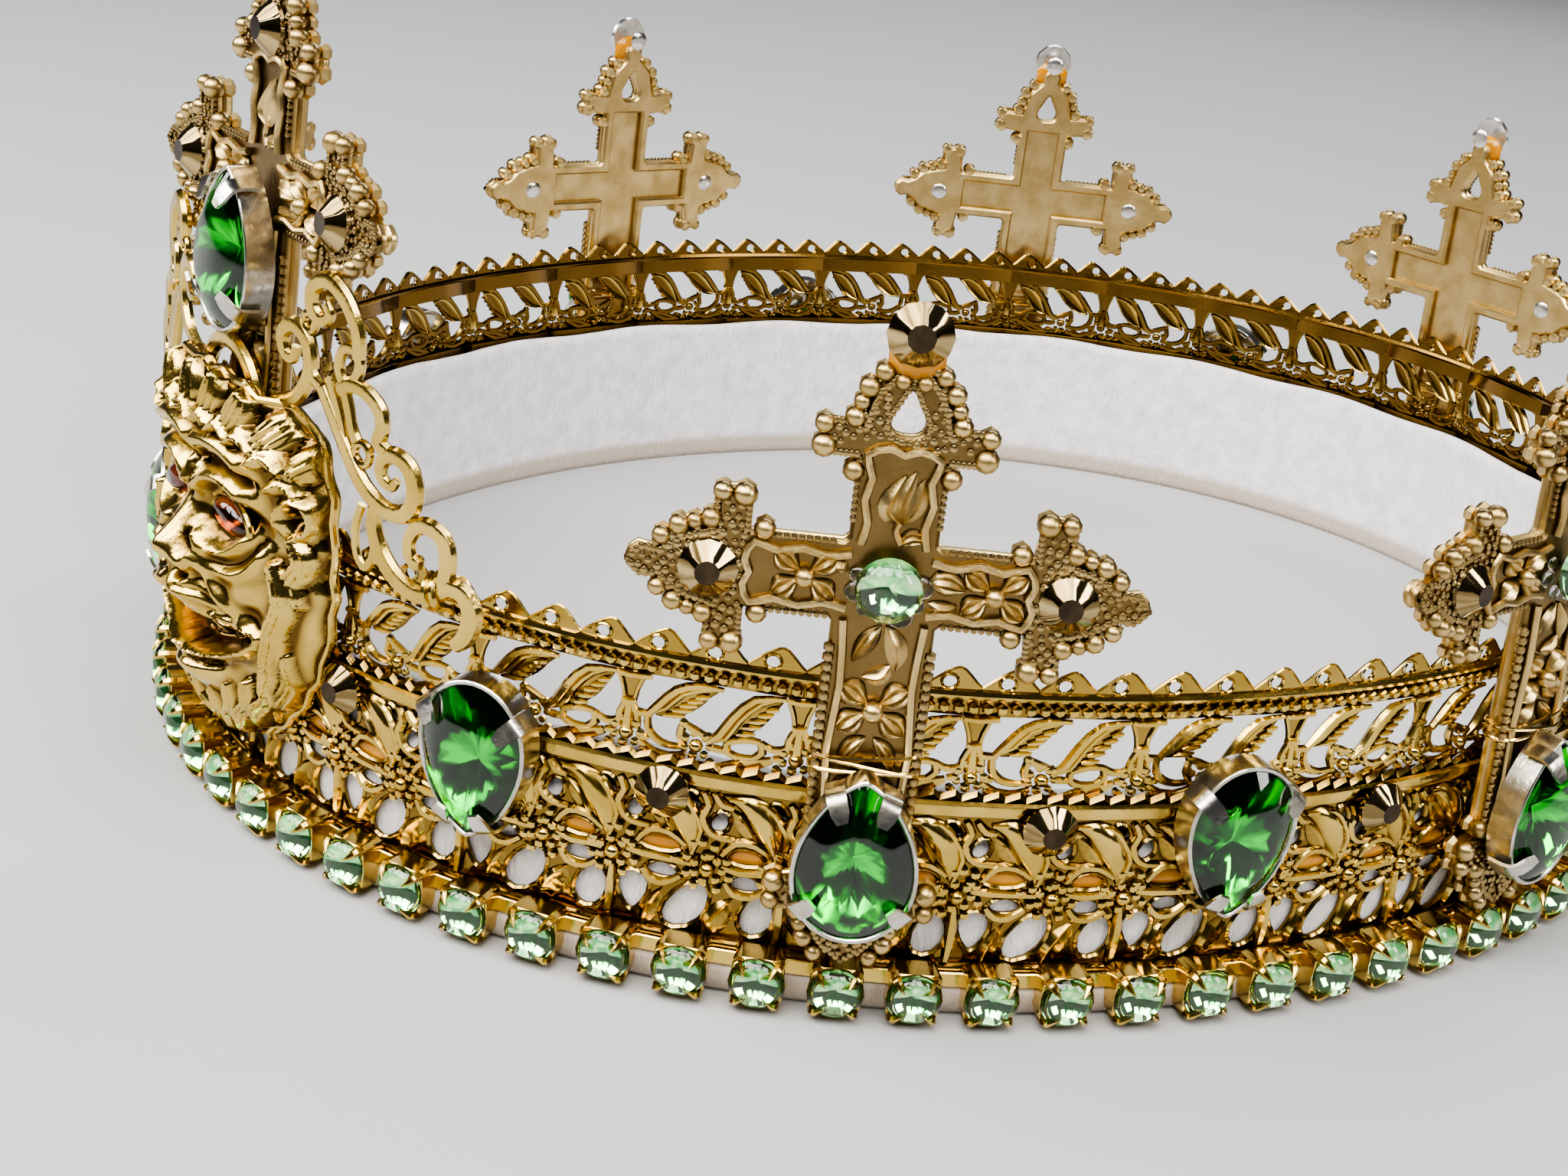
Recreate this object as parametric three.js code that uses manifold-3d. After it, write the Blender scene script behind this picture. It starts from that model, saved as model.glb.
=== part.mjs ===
// Costume crown: an oval band of two pierced gilt strips over a felt lining, with eight standing
// crosses, pear stones in settings, a chain of small stones round the foot, and a lion mask on a
// plate of scrolls at the front.  Millimetres, +Z up, the mask faces -Y, the foot is at Z = 0.

import * as THREE from 'three';
import { mergeGeometries, mergeVertices } from 'three/addons/utils/BufferGeometryUtils.js';
import Module from 'manifold-3d';

const wasm = await Module();
wasm.setup();

// The oval that the chain's stones lie on, seen from above
const HALF_WIDTH = 81.07;
const HALF_LENGTH = 94.93;
const CROSS_COUNT = 8;

// Layers of the band: offsets are outward from the oval, heights are above the foot
const FELT = { inner: -7.2, outer: -5.2, top: 20.5, sides: 48 };
const UPPER_LACE = { inner: -4.9, outer: -3.9, foot: 17.0, footSteps: 1, shoulder: 31.6, tip: 34.2 };
const LOWER_LACE = { inner: -3.6, outer: -2.6, foot: 0.4, footSteps: 2, top: 21.0 };
const LACE_REPEATS = 40;
const SCALLOPS_PER_REPEAT = 3;
const CHAIN = { stones: 80, back: -2.2, depth: 2.2, middle: 3.0 };
const CHAIN_STONE = { radius: 2.35, rise: 0.9, table: 0.55, sides: 8 };

// Openings of one repeat of each strip: widths run along the strip, lean is along it towards the top
const UPPER_GAPS = [
  { left: 1.0, right: 4.2, lean: 2.2, bottom: 22.4, top: 28.2 },
  { left: 6.7, right: 10.1, lean: 2.4, bottom: 22.0, top: 28.2 },
];
const LOWER_GAPS = [{ left: 3.4, right: 9.0, lean: 1.6, bottom: 6.4, top: 11.0 }];

// The crosses, measured from the crossing of their arms
const CROSS = { thickness: 2.2, panelRise: 0.5, panelInset: 1.0, middle: 41.0, back: -2.2, lean: 2.5 };
const FRONT_CROSS = { middle: 61.8, back: -3.5, foot: 25.5, lean: 3.0 };
const CROSS_ARMS = [
  { angle: 0, half: 3.3, panel: 10.6, lobeAt: 13.2, lobeOut: 6.0, lobe: 1.9, tip: 21.7 },
  { angle: 90, half: 3.65, panel: 10.2, lobeAt: 12.0, lobeOut: 6.2, lobe: 1.9, tip: 19.4 },
  { angle: 180, half: 3.3, panel: 10.6, lobeAt: 13.2, lobeOut: 6.0, lobe: 1.9, tip: 21.7 },
  { angle: 270, half: 4.3, panel: 26.0, lobeAt: 28.6, lobeOut: 6.2, lobe: 1.9, tip: 35.0 },
];
const TIP = { radius: 1.5, steps: 2 };
const LOBE_STEPS = 3;
const EYELET = { bottom: 13.2, top: 16.7, halfWidth: 1.2, widestAt: 0.4 };

// Stones: radii and rises of their facets above the surface that they sit on
const BRONZE = { radius: 2.7, rise: 1.7, table: 0.4, sides: 8 };
const PERIDOT = { radius: 3.1, rise: 2.0, table: 0.5, sides: 8 };
const PEAR = { width: 10.3, length: 14.6, fullness: 0.45, rise: 1.6, table: 0.6, sides: 10 };
const PEAR_SETTING = { depth: 2.7, taper: 0.95 };
const CROSS_PEAR_MIDDLE = 17.5;
const FRONT_PEAR_MIDDLE = 56.0;
const BETWEEN_PEAR = { middle: 18.5, back: -2.2 };
const BAR_STONE = { middle: 19.0, back: -2.3 };
const ARM_STONE_AT = 14.8;
const TOP_STONE = { at: 21.1, setBack: 0.3 };
const EYELET_STONE_AT = 13.8;
const STONE_SINK = 0.3;
const SEAT_GAP = 0.3;

// The scroll plate: rings in the flat, across from the middle and up from the foot
const SCROLLS = { back: -1.0, thickness: 1.2, band: 1.9, sides: 10 };
const SCROLL_RINGS = [
  { across: 0, up: 42.4, radius: 6.3 },
  { across: 9.2, up: 47.6, radius: 4.8 },
  { across: 13.5, up: 52.6, radius: 4.5 },
  { across: 19.6, up: 46.6, radius: 5.2 },
  { across: 25.4, up: 39.2, radius: 5.2 },
  { across: 29.6, up: 31.2, radius: 5.0 },
];

// The lion mask: its rim, and a relief of rounded rises and hollows, mirrored where they lie aside
const MASK = { back: 0.7, middle: 27.5, halfWidth: 17.2, up: 17.6, down: 18.8, dome: 2.6, rim: 0.9 };
const MANE = { locks: 18, wave: 0.035 };
const MASK_RELIEF = [
  { feature: 'nose', across: 0, up: 0.2, wide: 2.9, tall: 2.6, rise: 3.1 },
  { feature: 'bridge', across: 0, up: 5.5, wide: 2.2, tall: 4.2, rise: 0.9 },
  { feature: 'brow', across: 5.4, up: 9.6, wide: 4.0, tall: 2.0, rise: 1.1 },
  { feature: 'socket', across: 6.4, up: 5.6, wide: 3.0, tall: 1.9, rise: -0.9 },
  { feature: 'cheek', across: 9.0, up: -0.4, wide: 3.6, tall: 3.4, rise: 1.0 },
  { feature: 'muzzle', across: 3.4, up: -4.4, wide: 3.4, tall: 2.6, rise: 2.2 },
  { feature: 'mouth', across: 0, up: -9.6, wide: 6.0, tall: 1.9, rise: -1.9 },
  { feature: 'chin', across: 0, up: -13.4, wide: 3.8, tall: 2.2, rise: 1.4 },
];
const MASK_RINGS = { back: [0, 0.5, 1], front: [1, 0.93, 0.78, 0.62, 0.46, 0.3, 0.15, 0] };
const EYE_STONE = { length: 4.4, height: 2.4, wall: 0.6, rise: 1.0, table: 0.5, sides: 8 };
const EYE_SOCKET = { across: 6.2, up: 5.6, floor: 2.4, reach: 7.5 };

// Finishes, one for each kind of surface
const FINISHES = {
  felt: { color: 0xd9d4cf, roughness: 0.95, metalness: 0.0 },
  gilt: { color: 0xd9a63a, roughness: 0.2, metalness: 1.0 },
  antique: { color: 0x9c7a3c, roughness: 0.38, metalness: 1.0 },
  emerald: { color: 0x1fae3a, roughness: 0.06, metalness: 0.0 },
  peridot: { color: 0x86dc8e, roughness: 0.06, metalness: 0.0 },
  bronze: { color: 0x8a6a34, roughness: 0.15, metalness: 1.0 },
  ruby: { color: 0xb3201f, roughness: 0.08, metalness: 0.0 },
};

const CENTRE = new THREE.Vector2();
const WELD = 1e-4;
const PITCH_GRID = 1e5;

// The oval, walked by arc length from the front towards +X
const oval = new THREE.EllipseCurve(0, 0, HALF_WIDTH, HALF_LENGTH, -Math.PI / 2, 1.5 * Math.PI);
oval.arcLengthDivisions = 2000;
const GIRTH = oval.getLength();

function station(turn) {
  const point = oval.getPointAt(turn - Math.floor(turn));
  const normal = new THREE.Vector2(point.x / HALF_WIDTH ** 2, point.y / HALF_LENGTH ** 2).normalize();
  return { point, normal };
}

// Lays a flat point on the oval: turn along it, height up, offset outward
function lay(turn, height, offset) {
  const { point, normal } = station(turn);
  return new THREE.Vector3(point.x + normal.x * offset, point.y + normal.y * offset, height);
}

// A group that stands on the oval with X along it, Y up and Z outward, its top leaning in
function seat(turn, height, offset, lean = 0) {
  const { normal } = station(turn);
  const along = new THREE.Vector3(-normal.y, normal.x, 0);
  const outward = new THREE.Vector3(normal.x, normal.y, 0);
  const group = new THREE.Group();
  const basis = new THREE.Matrix4().makeBasis(along, new THREE.Vector3(0, 0, 1), outward);
  group.quaternion.setFromRotationMatrix(basis);
  group.rotateX(-THREE.MathUtils.degToRad(lean));
  group.position.copy(lay(turn, height, offset));
  return group;
}

// Merges shared corners, and drops the slivers that close up when they merge
function weld(geometry) {
  geometry.deleteAttribute('normal');
  geometry.deleteAttribute('uv');
  const welded = mergeVertices(geometry, WELD);
  const corners = [];
  for (let i = 0; i < welded.index.count; i += 3) {
    const triangle = [0, 1, 2].map((step) => welded.index.getX(i + step));
    if (new Set(triangle).size === 3) corners.push(...triangle);
  }
  welded.setIndex(corners);
  welded.computeVertexNormals();
  return welded;
}

function solid(geometry) {
  const welded = weld(geometry.clone());
  const vertProperties = new Float32Array(welded.getAttribute('position').array);
  const triVerts = new Uint32Array(welded.index.array);
  return new wasm.Manifold(new wasm.Mesh({ numProp: 3, vertProperties, triVerts }));
}

function geometryOf(manifold) {
  const mesh = manifold.getMesh();
  const geometry = new THREE.BufferGeometry();
  geometry.setAttribute('position', new THREE.BufferAttribute(mesh.vertProperties, 3));
  geometry.setIndex(new THREE.BufferAttribute(mesh.triVerts, 1));
  return weld(geometry);
}

function fuse(geometries) {
  return geometryOf(geometries.map(solid).reduce((whole, next) => whole.add(next)));
}

function named(name, geometry, finish) {
  const mesh = new THREE.Mesh(geometry, new THREE.MeshStandardMaterial(FINISHES[finish]));
  mesh.name = name;
  return mesh;
}

// Bends a flat piece round the oval: x along it, y up, z outward
function bent(geometry) {
  const position = geometry.getAttribute('position');
  for (let i = 0; i < position.count; i += 1) {
    const corner = lay(position.getX(i) / GIRTH, position.getY(i), position.getZ(i));
    position.setXYZ(i, corner.x, corner.y, corner.z);
  }
  return geometry;
}

// Repeats one flat unit round the oval, its lead before the front, and joins the copies end to end
function ringOf(unit, repeats, lead = 0) {
  const pitch = GIRTH / repeats;
  const flat = (unit.index ? unit.toNonIndexed() : unit).getAttribute('position');
  const corners = [];
  for (let first = 0; first < flat.count; first += 3) {
    const triangle = [first, first + 1, first + 2];
    const shares = triangle.map((i) => Math.round((flat.getX(i) / pitch) * PITCH_GRID) / PITCH_GRID);
    const atEnd = [0, 1].some((end) => shares.every((share) => share === end));
    if (atEnd) continue;
    for (let copy = 0; copy < repeats; copy += 1) {
      triangle.forEach((i, step) => {
        const turn = (copy + shares[step] - lead) / repeats;
        corners.push(...lay(turn, flat.getY(i), flat.getZ(i)).toArray());
      });
    }
  }
  const ring = new THREE.BufferGeometry();
  ring.setAttribute('position', new THREE.Float32BufferAttribute(corners, 3));
  return weld(ring);
}

// A faceted solid built up outward (+Z) from rows of share of the outline and height
function faceted(rows, sides, outline) {
  const profile = rows.map((row) => new THREE.Vector2(row.share, row.height));
  const geometry = new THREE.LatheGeometry(profile, sides).rotateX(Math.PI / 2);
  const position = geometry.getAttribute('position');
  for (let i = 0; i < position.count; i += 1) {
    const share = Math.hypot(position.getX(i), position.getY(i));
    const edge = outline(Math.atan2(position.getX(i), position.getY(i)));
    position.setXY(i, edge.x * share, edge.y * share);
  }
  return geometry;
}

const circle = (radius) => (angle) => new THREE.Vector2(radius * Math.sin(angle), radius * Math.cos(angle));

// A pear's outline: a point at the top, round below, as wide and long as PEAR says
function pearOutline(angle) {
  const widest = Math.atan(Math.sqrt(1 + PEAR.fullness));
  const peak = 2 * Math.cos(widest) * Math.sin(widest) ** (1 + PEAR.fullness);
  const swell = ((1 - Math.cos(angle)) / 2) ** (PEAR.fullness / 2);
  const x = (PEAR.width / 2 / peak) * Math.sin(angle) * swell;
  return new THREE.Vector2(x, (PEAR.length / 2) * Math.cos(angle));
}

// A navette's outline, pointed at both sides
const navette = (length, height) => (angle) => {
  const rise = Math.cos(angle) * Math.abs(Math.cos(angle));
  return new THREE.Vector2((length / 2) * Math.sin(angle), (height / 2) * rise);
};

function flatBack(stone) {
  const rows = [
    { share: 0, height: -STONE_SINK },
    { share: 1, height: -STONE_SINK },
    { share: stone.table, height: stone.rise },
    { share: 0, height: stone.rise },
  ];
  return faceted(rows, stone.sides, circle(stone.radius));
}

function pear() {
  const rows = [
    { share: 0, height: 0 },
    { share: PEAR_SETTING.taper, height: 0 },
    { share: 1, height: PEAR_SETTING.depth },
    { share: PEAR.table, height: PEAR_SETTING.depth + PEAR.rise },
    { share: 0, height: PEAR_SETTING.depth + PEAR.rise },
  ];
  return weld(faceted(rows, PEAR.sides, pearOutline));
}

// Felt lining: a plain wall between two offsets of the oval
function feltLining() {
  const loop = (offset) => Array.from({ length: FELT.sides }, (_, i) => {
    const corner = lay(i / FELT.sides, 0, offset);
    return new THREE.Vector2(corner.x, corner.y);
  });
  const wall = new THREE.Shape(loop(FELT.outer));
  wall.holes.push(new THREE.Path(loop(FELT.inner)));
  return weld(new THREE.ExtrudeGeometry(wall, { depth: FELT.top, bevelEnabled: false }));
}

function gapPath(gap) {
  return new THREE.Path([
    new THREE.Vector2(gap.left, gap.bottom),
    new THREE.Vector2(gap.left + gap.lean, gap.top),
    new THREE.Vector2(gap.right + gap.lean, gap.top),
    new THREE.Vector2(gap.right, gap.bottom),
  ]);
}

// A pierced strip: one repeat from its top edge and openings, carried round the oval
function pierced(strip, topEdge, gaps) {
  const pitch = GIRTH / LACE_REPEATS;
  const step = pitch / strip.footSteps;
  const foot = Array.from({ length: strip.footSteps + 1 }, (_, i) => new THREE.Vector2(i * step, strip.foot));
  const unit = new THREE.Shape([...foot, ...topEdge(pitch)]);
  unit.holes = gaps.map(gapPath);
  const flat = new THREE.ExtrudeGeometry(unit, { depth: strip.outer - strip.inner, bevelEnabled: false });
  return ringOf(flat.translate(0, 0, strip.inner), LACE_REPEATS);
}

function scallopedTop(pitch) {
  const { shoulder, tip } = UPPER_LACE;
  const step = pitch / SCALLOPS_PER_REPEAT;
  const edge = [new THREE.Vector2(pitch, shoulder)];
  for (let i = SCALLOPS_PER_REPEAT; i > 0; i -= 1) {
    edge.push(new THREE.Vector2((i - 0.5) * step, tip));
    edge.push(new THREE.Vector2((i - 1) * step, shoulder));
  }
  return edge;
}

const plainTop = (pitch) => [pitch, pitch / 2, 0].map((x) => new THREE.Vector2(x, LOWER_LACE.top));

// A flat piece without the faces that lie across it at the given places along x
function openedAt(geometry, places) {
  const flat = geometry.toNonIndexed();
  const position = flat.getAttribute('position');
  const kept = [];
  for (let first = 0; first < position.count; first += 3) {
    const corners = [first, first + 1, first + 2];
    const liesAt = (place) => corners.every((i) => Math.abs(position.getX(i) - place) < WELD);
    if (places.some(liesAt)) continue;
    corners.forEach((i) => kept.push(position.getX(i), position.getY(i), position.getZ(i)));
  }
  const opened = new THREE.BufferGeometry();
  opened.setAttribute('position', new THREE.Float32BufferAttribute(kept, 3));
  return opened;
}

// Cup chain: an eight sided cup and stone, and a link as wide as the cup's flat sides to the next one
function cupChain() {
  const pitch = GIRTH / CHAIN.stones;
  const { radius, rise, table, sides } = CHAIN_STONE;
  const halfStep = Math.PI / sides;
  const flat = radius * Math.cos(halfStep);
  const rows = [
    { share: 0, height: 0 },
    { share: 1, height: 0 },
    { share: 1, height: CHAIN.depth },
    { share: table, height: CHAIN.depth + rise },
    { share: 0, height: CHAIN.depth + rise },
  ];
  const cup = faceted(rows, sides, (angle) => circle(radius)(angle + halfStep)).translate(flat, 0, 0);
  const linkLength = pitch - 2 * flat;
  const link = new THREE.BoxGeometry(linkLength, 2 * radius * Math.sin(halfStep), CHAIN.depth);
  link.translate(pitch - linkLength / 2, 0, CHAIN.depth / 2);
  const unit = mergeGeometries([openedAt(cup, [0, 2 * flat]), openedAt(link, [2 * flat, pitch])]);
  return ringOf(weld(unit).translate(0, CHAIN.middle, CHAIN.back), CHAIN.stones, flat / pitch);
}

function arc(x, y, radius, from, to, steps) {
  return Array.from({ length: steps + 1 }, (_, i) => {
    const angle = THREE.MathUtils.lerp(from, to, i / steps);
    return new THREE.Vector2(x + radius * Math.cos(angle), y + radius * Math.sin(angle));
  });
}

// One end of a cross: a lobe to each side and a tip, drawn along +X and turned to its angle
function trefoil(arm) {
  const turnTo = THREE.MathUtils.degToRad(arm.angle);
  const neck = arm.lobeAt - arm.lobe;
  const points = [
    new THREE.Vector2(neck, -arm.half),
    ...arc(arm.lobeAt, -arm.lobeOut, arm.lobe, -Math.PI, 0, LOBE_STEPS),
    ...arc(arm.tip - TIP.radius, 0, TIP.radius, -Math.PI / 2, Math.PI / 2, TIP.steps),
    ...arc(arm.lobeAt, arm.lobeOut, arm.lobe, 0, Math.PI, LOBE_STEPS),
    new THREE.Vector2(neck, arm.half),
  ];
  return points.map((point) => point.rotateAround(CENTRE, turnTo));
}

// The inner corner between an arm and the next one round
function armCorner(arm, next, inset = 0) {
  const corner = new THREE.Vector2(next.half - inset, arm.half - inset);
  return corner.rotateAround(CENTRE, THREE.MathUtils.degToRad(arm.angle));
}

function crossPlate() {
  const points = CROSS_ARMS.flatMap((arm, i) => {
    const next = CROSS_ARMS[(i + 1) % CROSS_ARMS.length];
    return [...trefoil(arm), armCorner(arm, next)];
  });
  const plate = new THREE.Shape(points);
  const eyeMiddle = THREE.MathUtils.lerp(EYELET.bottom, EYELET.top, EYELET.widestAt);
  plate.holes.push(new THREE.Path([
    new THREE.Vector2(0, EYELET.top),
    new THREE.Vector2(-EYELET.halfWidth, eyeMiddle),
    new THREE.Vector2(-EYELET.halfWidth / 2, EYELET.bottom),
    new THREE.Vector2(EYELET.halfWidth / 2, EYELET.bottom),
    new THREE.Vector2(EYELET.halfWidth, eyeMiddle),
  ]));
  return new THREE.ExtrudeGeometry(plate, { depth: CROSS.thickness, bevelEnabled: false });
}

// The raised frame along the arms
function crossPanel() {
  const points = CROSS_ARMS.flatMap((arm, i) => {
    const next = CROSS_ARMS[(i + 1) % CROSS_ARMS.length];
    const turnTo = THREE.MathUtils.degToRad(arm.angle);
    const half = arm.half - CROSS.panelInset;
    const end = [-half, half].map((y) => new THREE.Vector2(arm.panel, y));
    end.forEach((point) => point.rotateAround(CENTRE, turnTo));
    return [...end, armCorner(arm, next, CROSS.panelInset)];
  });
  const depth = CROSS.panelRise + STONE_SINK;
  const panel = new THREE.ExtrudeGeometry(new THREE.Shape(points), { depth, bevelEnabled: false });
  return panel.translate(0, 0, CROSS.thickness - STONE_SINK);
}

function cross(glued) {
  const stones = glued.map(({ stone, x, y, on }) => flatBack(stone).translate(x, y, on));
  return fuse([crossPlate(), crossPanel(), ...stones]);
}

const armStone = (x) => ({ stone: BRONZE, x, y: 0, on: CROSS.thickness });
const ARM_STONES = [armStone(-ARM_STONE_AT), armStone(ARM_STONE_AT)];
const CROWN_FACE = CROSS.thickness + CROSS.panelRise;
const PLAIN_STONES = [
  ...ARM_STONES,
  { stone: BRONZE, x: 0, y: TOP_STONE.at, on: CROSS.thickness - TOP_STONE.setBack },
  { stone: PERIDOT, x: 0, y: 0, on: CROWN_FACE },
];
const FRONT_STONES = [...ARM_STONES, { stone: BRONZE, x: 0, y: EYELET_STONE_AT, on: CROSS.thickness }];

// Scroll plate: rings in the flat, mirrored, joined where they cross and bent to the oval
function scrollPlate() {
  const ring = ({ across, up, radius }) => {
    const loop = (size) => Array.from({ length: SCROLLS.sides }, (_, i) => {
      const angle = (2 * Math.PI * i) / SCROLLS.sides;
      return new THREE.Vector2(across + size * Math.cos(angle), up + size * Math.sin(angle));
    });
    const shape = new THREE.Shape(loop(radius));
    shape.holes.push(new THREE.Path(loop(radius - SCROLLS.band)));
    const depth = SCROLLS.thickness;
    return new THREE.ExtrudeGeometry(shape, { depth, bevelEnabled: false }).translate(0, 0, SCROLLS.back);
  };
  const aside = SCROLL_RINGS.filter((row) => row.across > 0);
  const mirrored = aside.map((row) => ({ ...row, across: -row.across }));
  return bent(fuse([...SCROLL_RINGS, ...mirrored].map(ring)));
}

// Depth of the mask's face at a place on it
function maskRelief(x, y) {
  const reach = y > 0 ? MASK.up : MASK.down;
  const dome = MASK.dome * Math.max(0, 1 - (x / MASK.halfWidth) ** 2 - (y / reach) ** 2);
  const features = MASK_RELIEF.reduce((depth, row) => {
    const aside = Math.abs(x) - row.across;
    return depth + row.rise * Math.exp(-((aside / row.wide) ** 2) - ((y - row.up) / row.tall) ** 2);
  }, 0);
  return MASK.rim + dome + features;
}

// The mane's rim, waved into locks
function maskRim(angle) {
  const wave = 1 + MANE.wave * Math.cos(MANE.locks * angle);
  const up = Math.cos(angle) > 0 ? MASK.up : MASK.down;
  return new THREE.Vector2(MASK.halfWidth * wave * Math.sin(angle), up * wave * Math.cos(angle));
}

function eyeStone(grow, depth) {
  const rows = [
    { share: 0, height: 0 },
    { share: 1, height: 0 },
    { share: 1, height: depth - EYE_STONE.rise },
    { share: EYE_STONE.table, height: depth },
    { share: 0, height: depth },
  ];
  return faceted(rows, EYE_STONE.sides, navette(EYE_STONE.length + 2 * grow, EYE_STONE.height + 2 * grow));
}

const eyePlace = (side, rise) => [side * EYE_SOCKET.across, EYE_SOCKET.up, rise];

function lionMask() {
  const back = MASK_RINGS.back.map((share) => ({ share, height: 0 }));
  const front = MASK_RINGS.front.map((share) => ({ share, height: 1 }));
  const face = faceted([...back, ...front], 2 * MANE.locks, maskRim);
  const position = face.getAttribute('position');
  for (let i = 0; i < position.count; i += 1) {
    position.setZ(i, position.getZ(i) * maskRelief(position.getX(i), position.getY(i)));
  }
  const sockets = [-1, 1].map((side) => {
    const cutter = eyeStone(SEAT_GAP, EYE_SOCKET.reach);
    return cutter.translate(...eyePlace(side, EYE_SOCKET.floor));
  });
  const carved = sockets.reduce((whole, socket) => whole.subtract(solid(socket)), solid(face));
  return bent(geometryOf(carved).translate(0, MASK.middle, MASK.back));
}

function maskEye(side) {
  const stone = weld(eyeStone(0, EYE_STONE.wall + EYE_STONE.rise));
  stone.translate(...eyePlace(side, EYE_SOCKET.floor + SEAT_GAP));
  return bent(stone.translate(0, MASK.middle, MASK.back));
}

// Assembly
const crown = new THREE.Group();
crown.add(named('felt_lining', feltLining(), 'felt'));
crown.add(named('lower_lace', pierced(LOWER_LACE, plainTop, LOWER_GAPS), 'gilt'));
crown.add(named('upper_lace', pierced(UPPER_LACE, scallopedTop, UPPER_GAPS), 'gilt'));
crown.add(named('cup_chain', cupChain(), 'peridot'));

for (let k = 0; k < CROSS_COUNT; k += 1) {
  const atFront = k === 0;
  const turn = k / CROSS_COUNT;
  const { middle, back, lean } = atFront ? FRONT_CROSS : CROSS;
  const foot = atFront ? FRONT_CROSS.foot : LOWER_LACE.top;
  const stand = seat(turn, foot, back, lean);
  const upright = new THREE.Group();
  upright.position.y = middle - foot;
  upright.add(named(`cross_${k + 1}`, cross(atFront ? FRONT_STONES : PLAIN_STONES), 'antique'));
  const stone = named(`pear_cross_${k + 1}`, pear(), 'emerald');
  const pearMiddle = atFront ? FRONT_PEAR_MIDDLE : CROSS_PEAR_MIDDLE;
  stone.position.set(0, pearMiddle - middle, CROWN_FACE + SEAT_GAP);
  upright.add(stone);
  stand.add(upright);
  crown.add(stand);
}

for (let k = 0; k < CROSS_COUNT; k += 1) {
  const stand = seat((k + 0.5) / CROSS_COUNT, BETWEEN_PEAR.middle, BETWEEN_PEAR.back);
  const stone = named(`pear_between_${k + 1}`, pear(), 'emerald');
  stone.rotation.z = Math.PI;
  stand.add(stone);
  crown.add(stand);
}

for (let k = 0; k < 2 * CROSS_COUNT; k += 1) {
  const stand = seat((k + 0.5) / (2 * CROSS_COUNT), BAR_STONE.middle, BAR_STONE.back + STONE_SINK);
  stand.add(named(`bronze_stone_${k + 1}`, weld(flatBack(BRONZE)), 'bronze'));
  crown.add(stand);
}

crown.add(named('scroll_plate', scrollPlate(), 'gilt'));
crown.add(named('lion_mask', lionMask(), 'gilt'));
crown.add(named('eye_stone_left', maskEye(-1), 'ruby'));
crown.add(named('eye_stone_right', maskEye(1), 'ruby'));

// The origin is under the middle of the whole crown
const reach = new THREE.Box3().setFromObject(crown, true);
crown.position.y = -(reach.min.y + reach.max.y) / 2;

const part = new THREE.Group();
part.add(crown);

export default part;
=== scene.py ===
"""Dresses the costume crown: gilt lace, cast crosses, set stones, a lion mask and a felt lining.

Shapes are worked in the flat in millimetres (X along the band, Y up, Z outward), then laid on the
crown's oval in metres.
"""
import logging
import math
from collections.abc import Callable, Sequence
from dataclasses import dataclass, field, replace
from enum import Enum
from functools import lru_cache

import bmesh
import bpy
import numpy as np
from mathutils import Matrix, Vector


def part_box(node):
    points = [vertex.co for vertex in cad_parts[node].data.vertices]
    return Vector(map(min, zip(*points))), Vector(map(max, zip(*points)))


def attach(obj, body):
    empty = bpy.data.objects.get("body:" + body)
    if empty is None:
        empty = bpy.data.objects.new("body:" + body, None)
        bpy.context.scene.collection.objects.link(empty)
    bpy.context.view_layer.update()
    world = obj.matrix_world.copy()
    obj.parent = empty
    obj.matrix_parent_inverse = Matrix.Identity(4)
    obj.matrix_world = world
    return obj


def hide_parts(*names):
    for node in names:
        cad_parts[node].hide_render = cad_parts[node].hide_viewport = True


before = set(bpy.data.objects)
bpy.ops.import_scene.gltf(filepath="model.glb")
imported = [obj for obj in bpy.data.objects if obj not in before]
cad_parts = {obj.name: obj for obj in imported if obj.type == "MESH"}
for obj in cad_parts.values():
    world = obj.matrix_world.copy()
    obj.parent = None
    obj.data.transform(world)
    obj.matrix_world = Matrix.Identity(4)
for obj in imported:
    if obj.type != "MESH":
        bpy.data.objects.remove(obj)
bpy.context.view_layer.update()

LOG = logging.getLogger("crown")
MM = 0.001
BODY = "root"
CROSS_COUNT = 8
LACE_REPEATS = 35
CHAIN_STONES = 80
LARGE_GAP = 3.0
WELD = 0.0005
SHARP_EDGE = math.radians(40)
BEHIND = 0.25
SEED = 11
PATCH_REACH = (0.38, 0.62)
SHEEN_REACH = (0.3, 0.7)
STREAK_REACH = (0.4, 0.6)
PIT_SIZE = 0.5
STREAK_SIZE = 3.0
FINE_BALL = (10, 6)
PLAIN_BALL = (6, 4)
GRAIN_BALL = (6, 3)
GRAIN_RADIUS = 0.5

Array = np.ndarray
Material = bpy.types.Material
Socket = bpy.types.NodeSocket
Point = tuple[float, ...]
Points = Sequence[Point]
Colour = tuple[float, float, float]
Outline = Callable[[float], Point]


class Grain(Enum):
    """What the face of a worked blade shows."""

    VEINED = "a rim, a groove and slanting ribs"
    STRANDED = "hair lines along the length"
    PETAL = "a middle fold and fanned ribs"
    SMOOTH = "a plain rounded face"


class Sides(Enum):
    """How round a drawn wire is, as the curve's bevel resolution."""

    FINE = 2
    COARSE = 1
    SQUARE = 0


# Finishes


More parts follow.
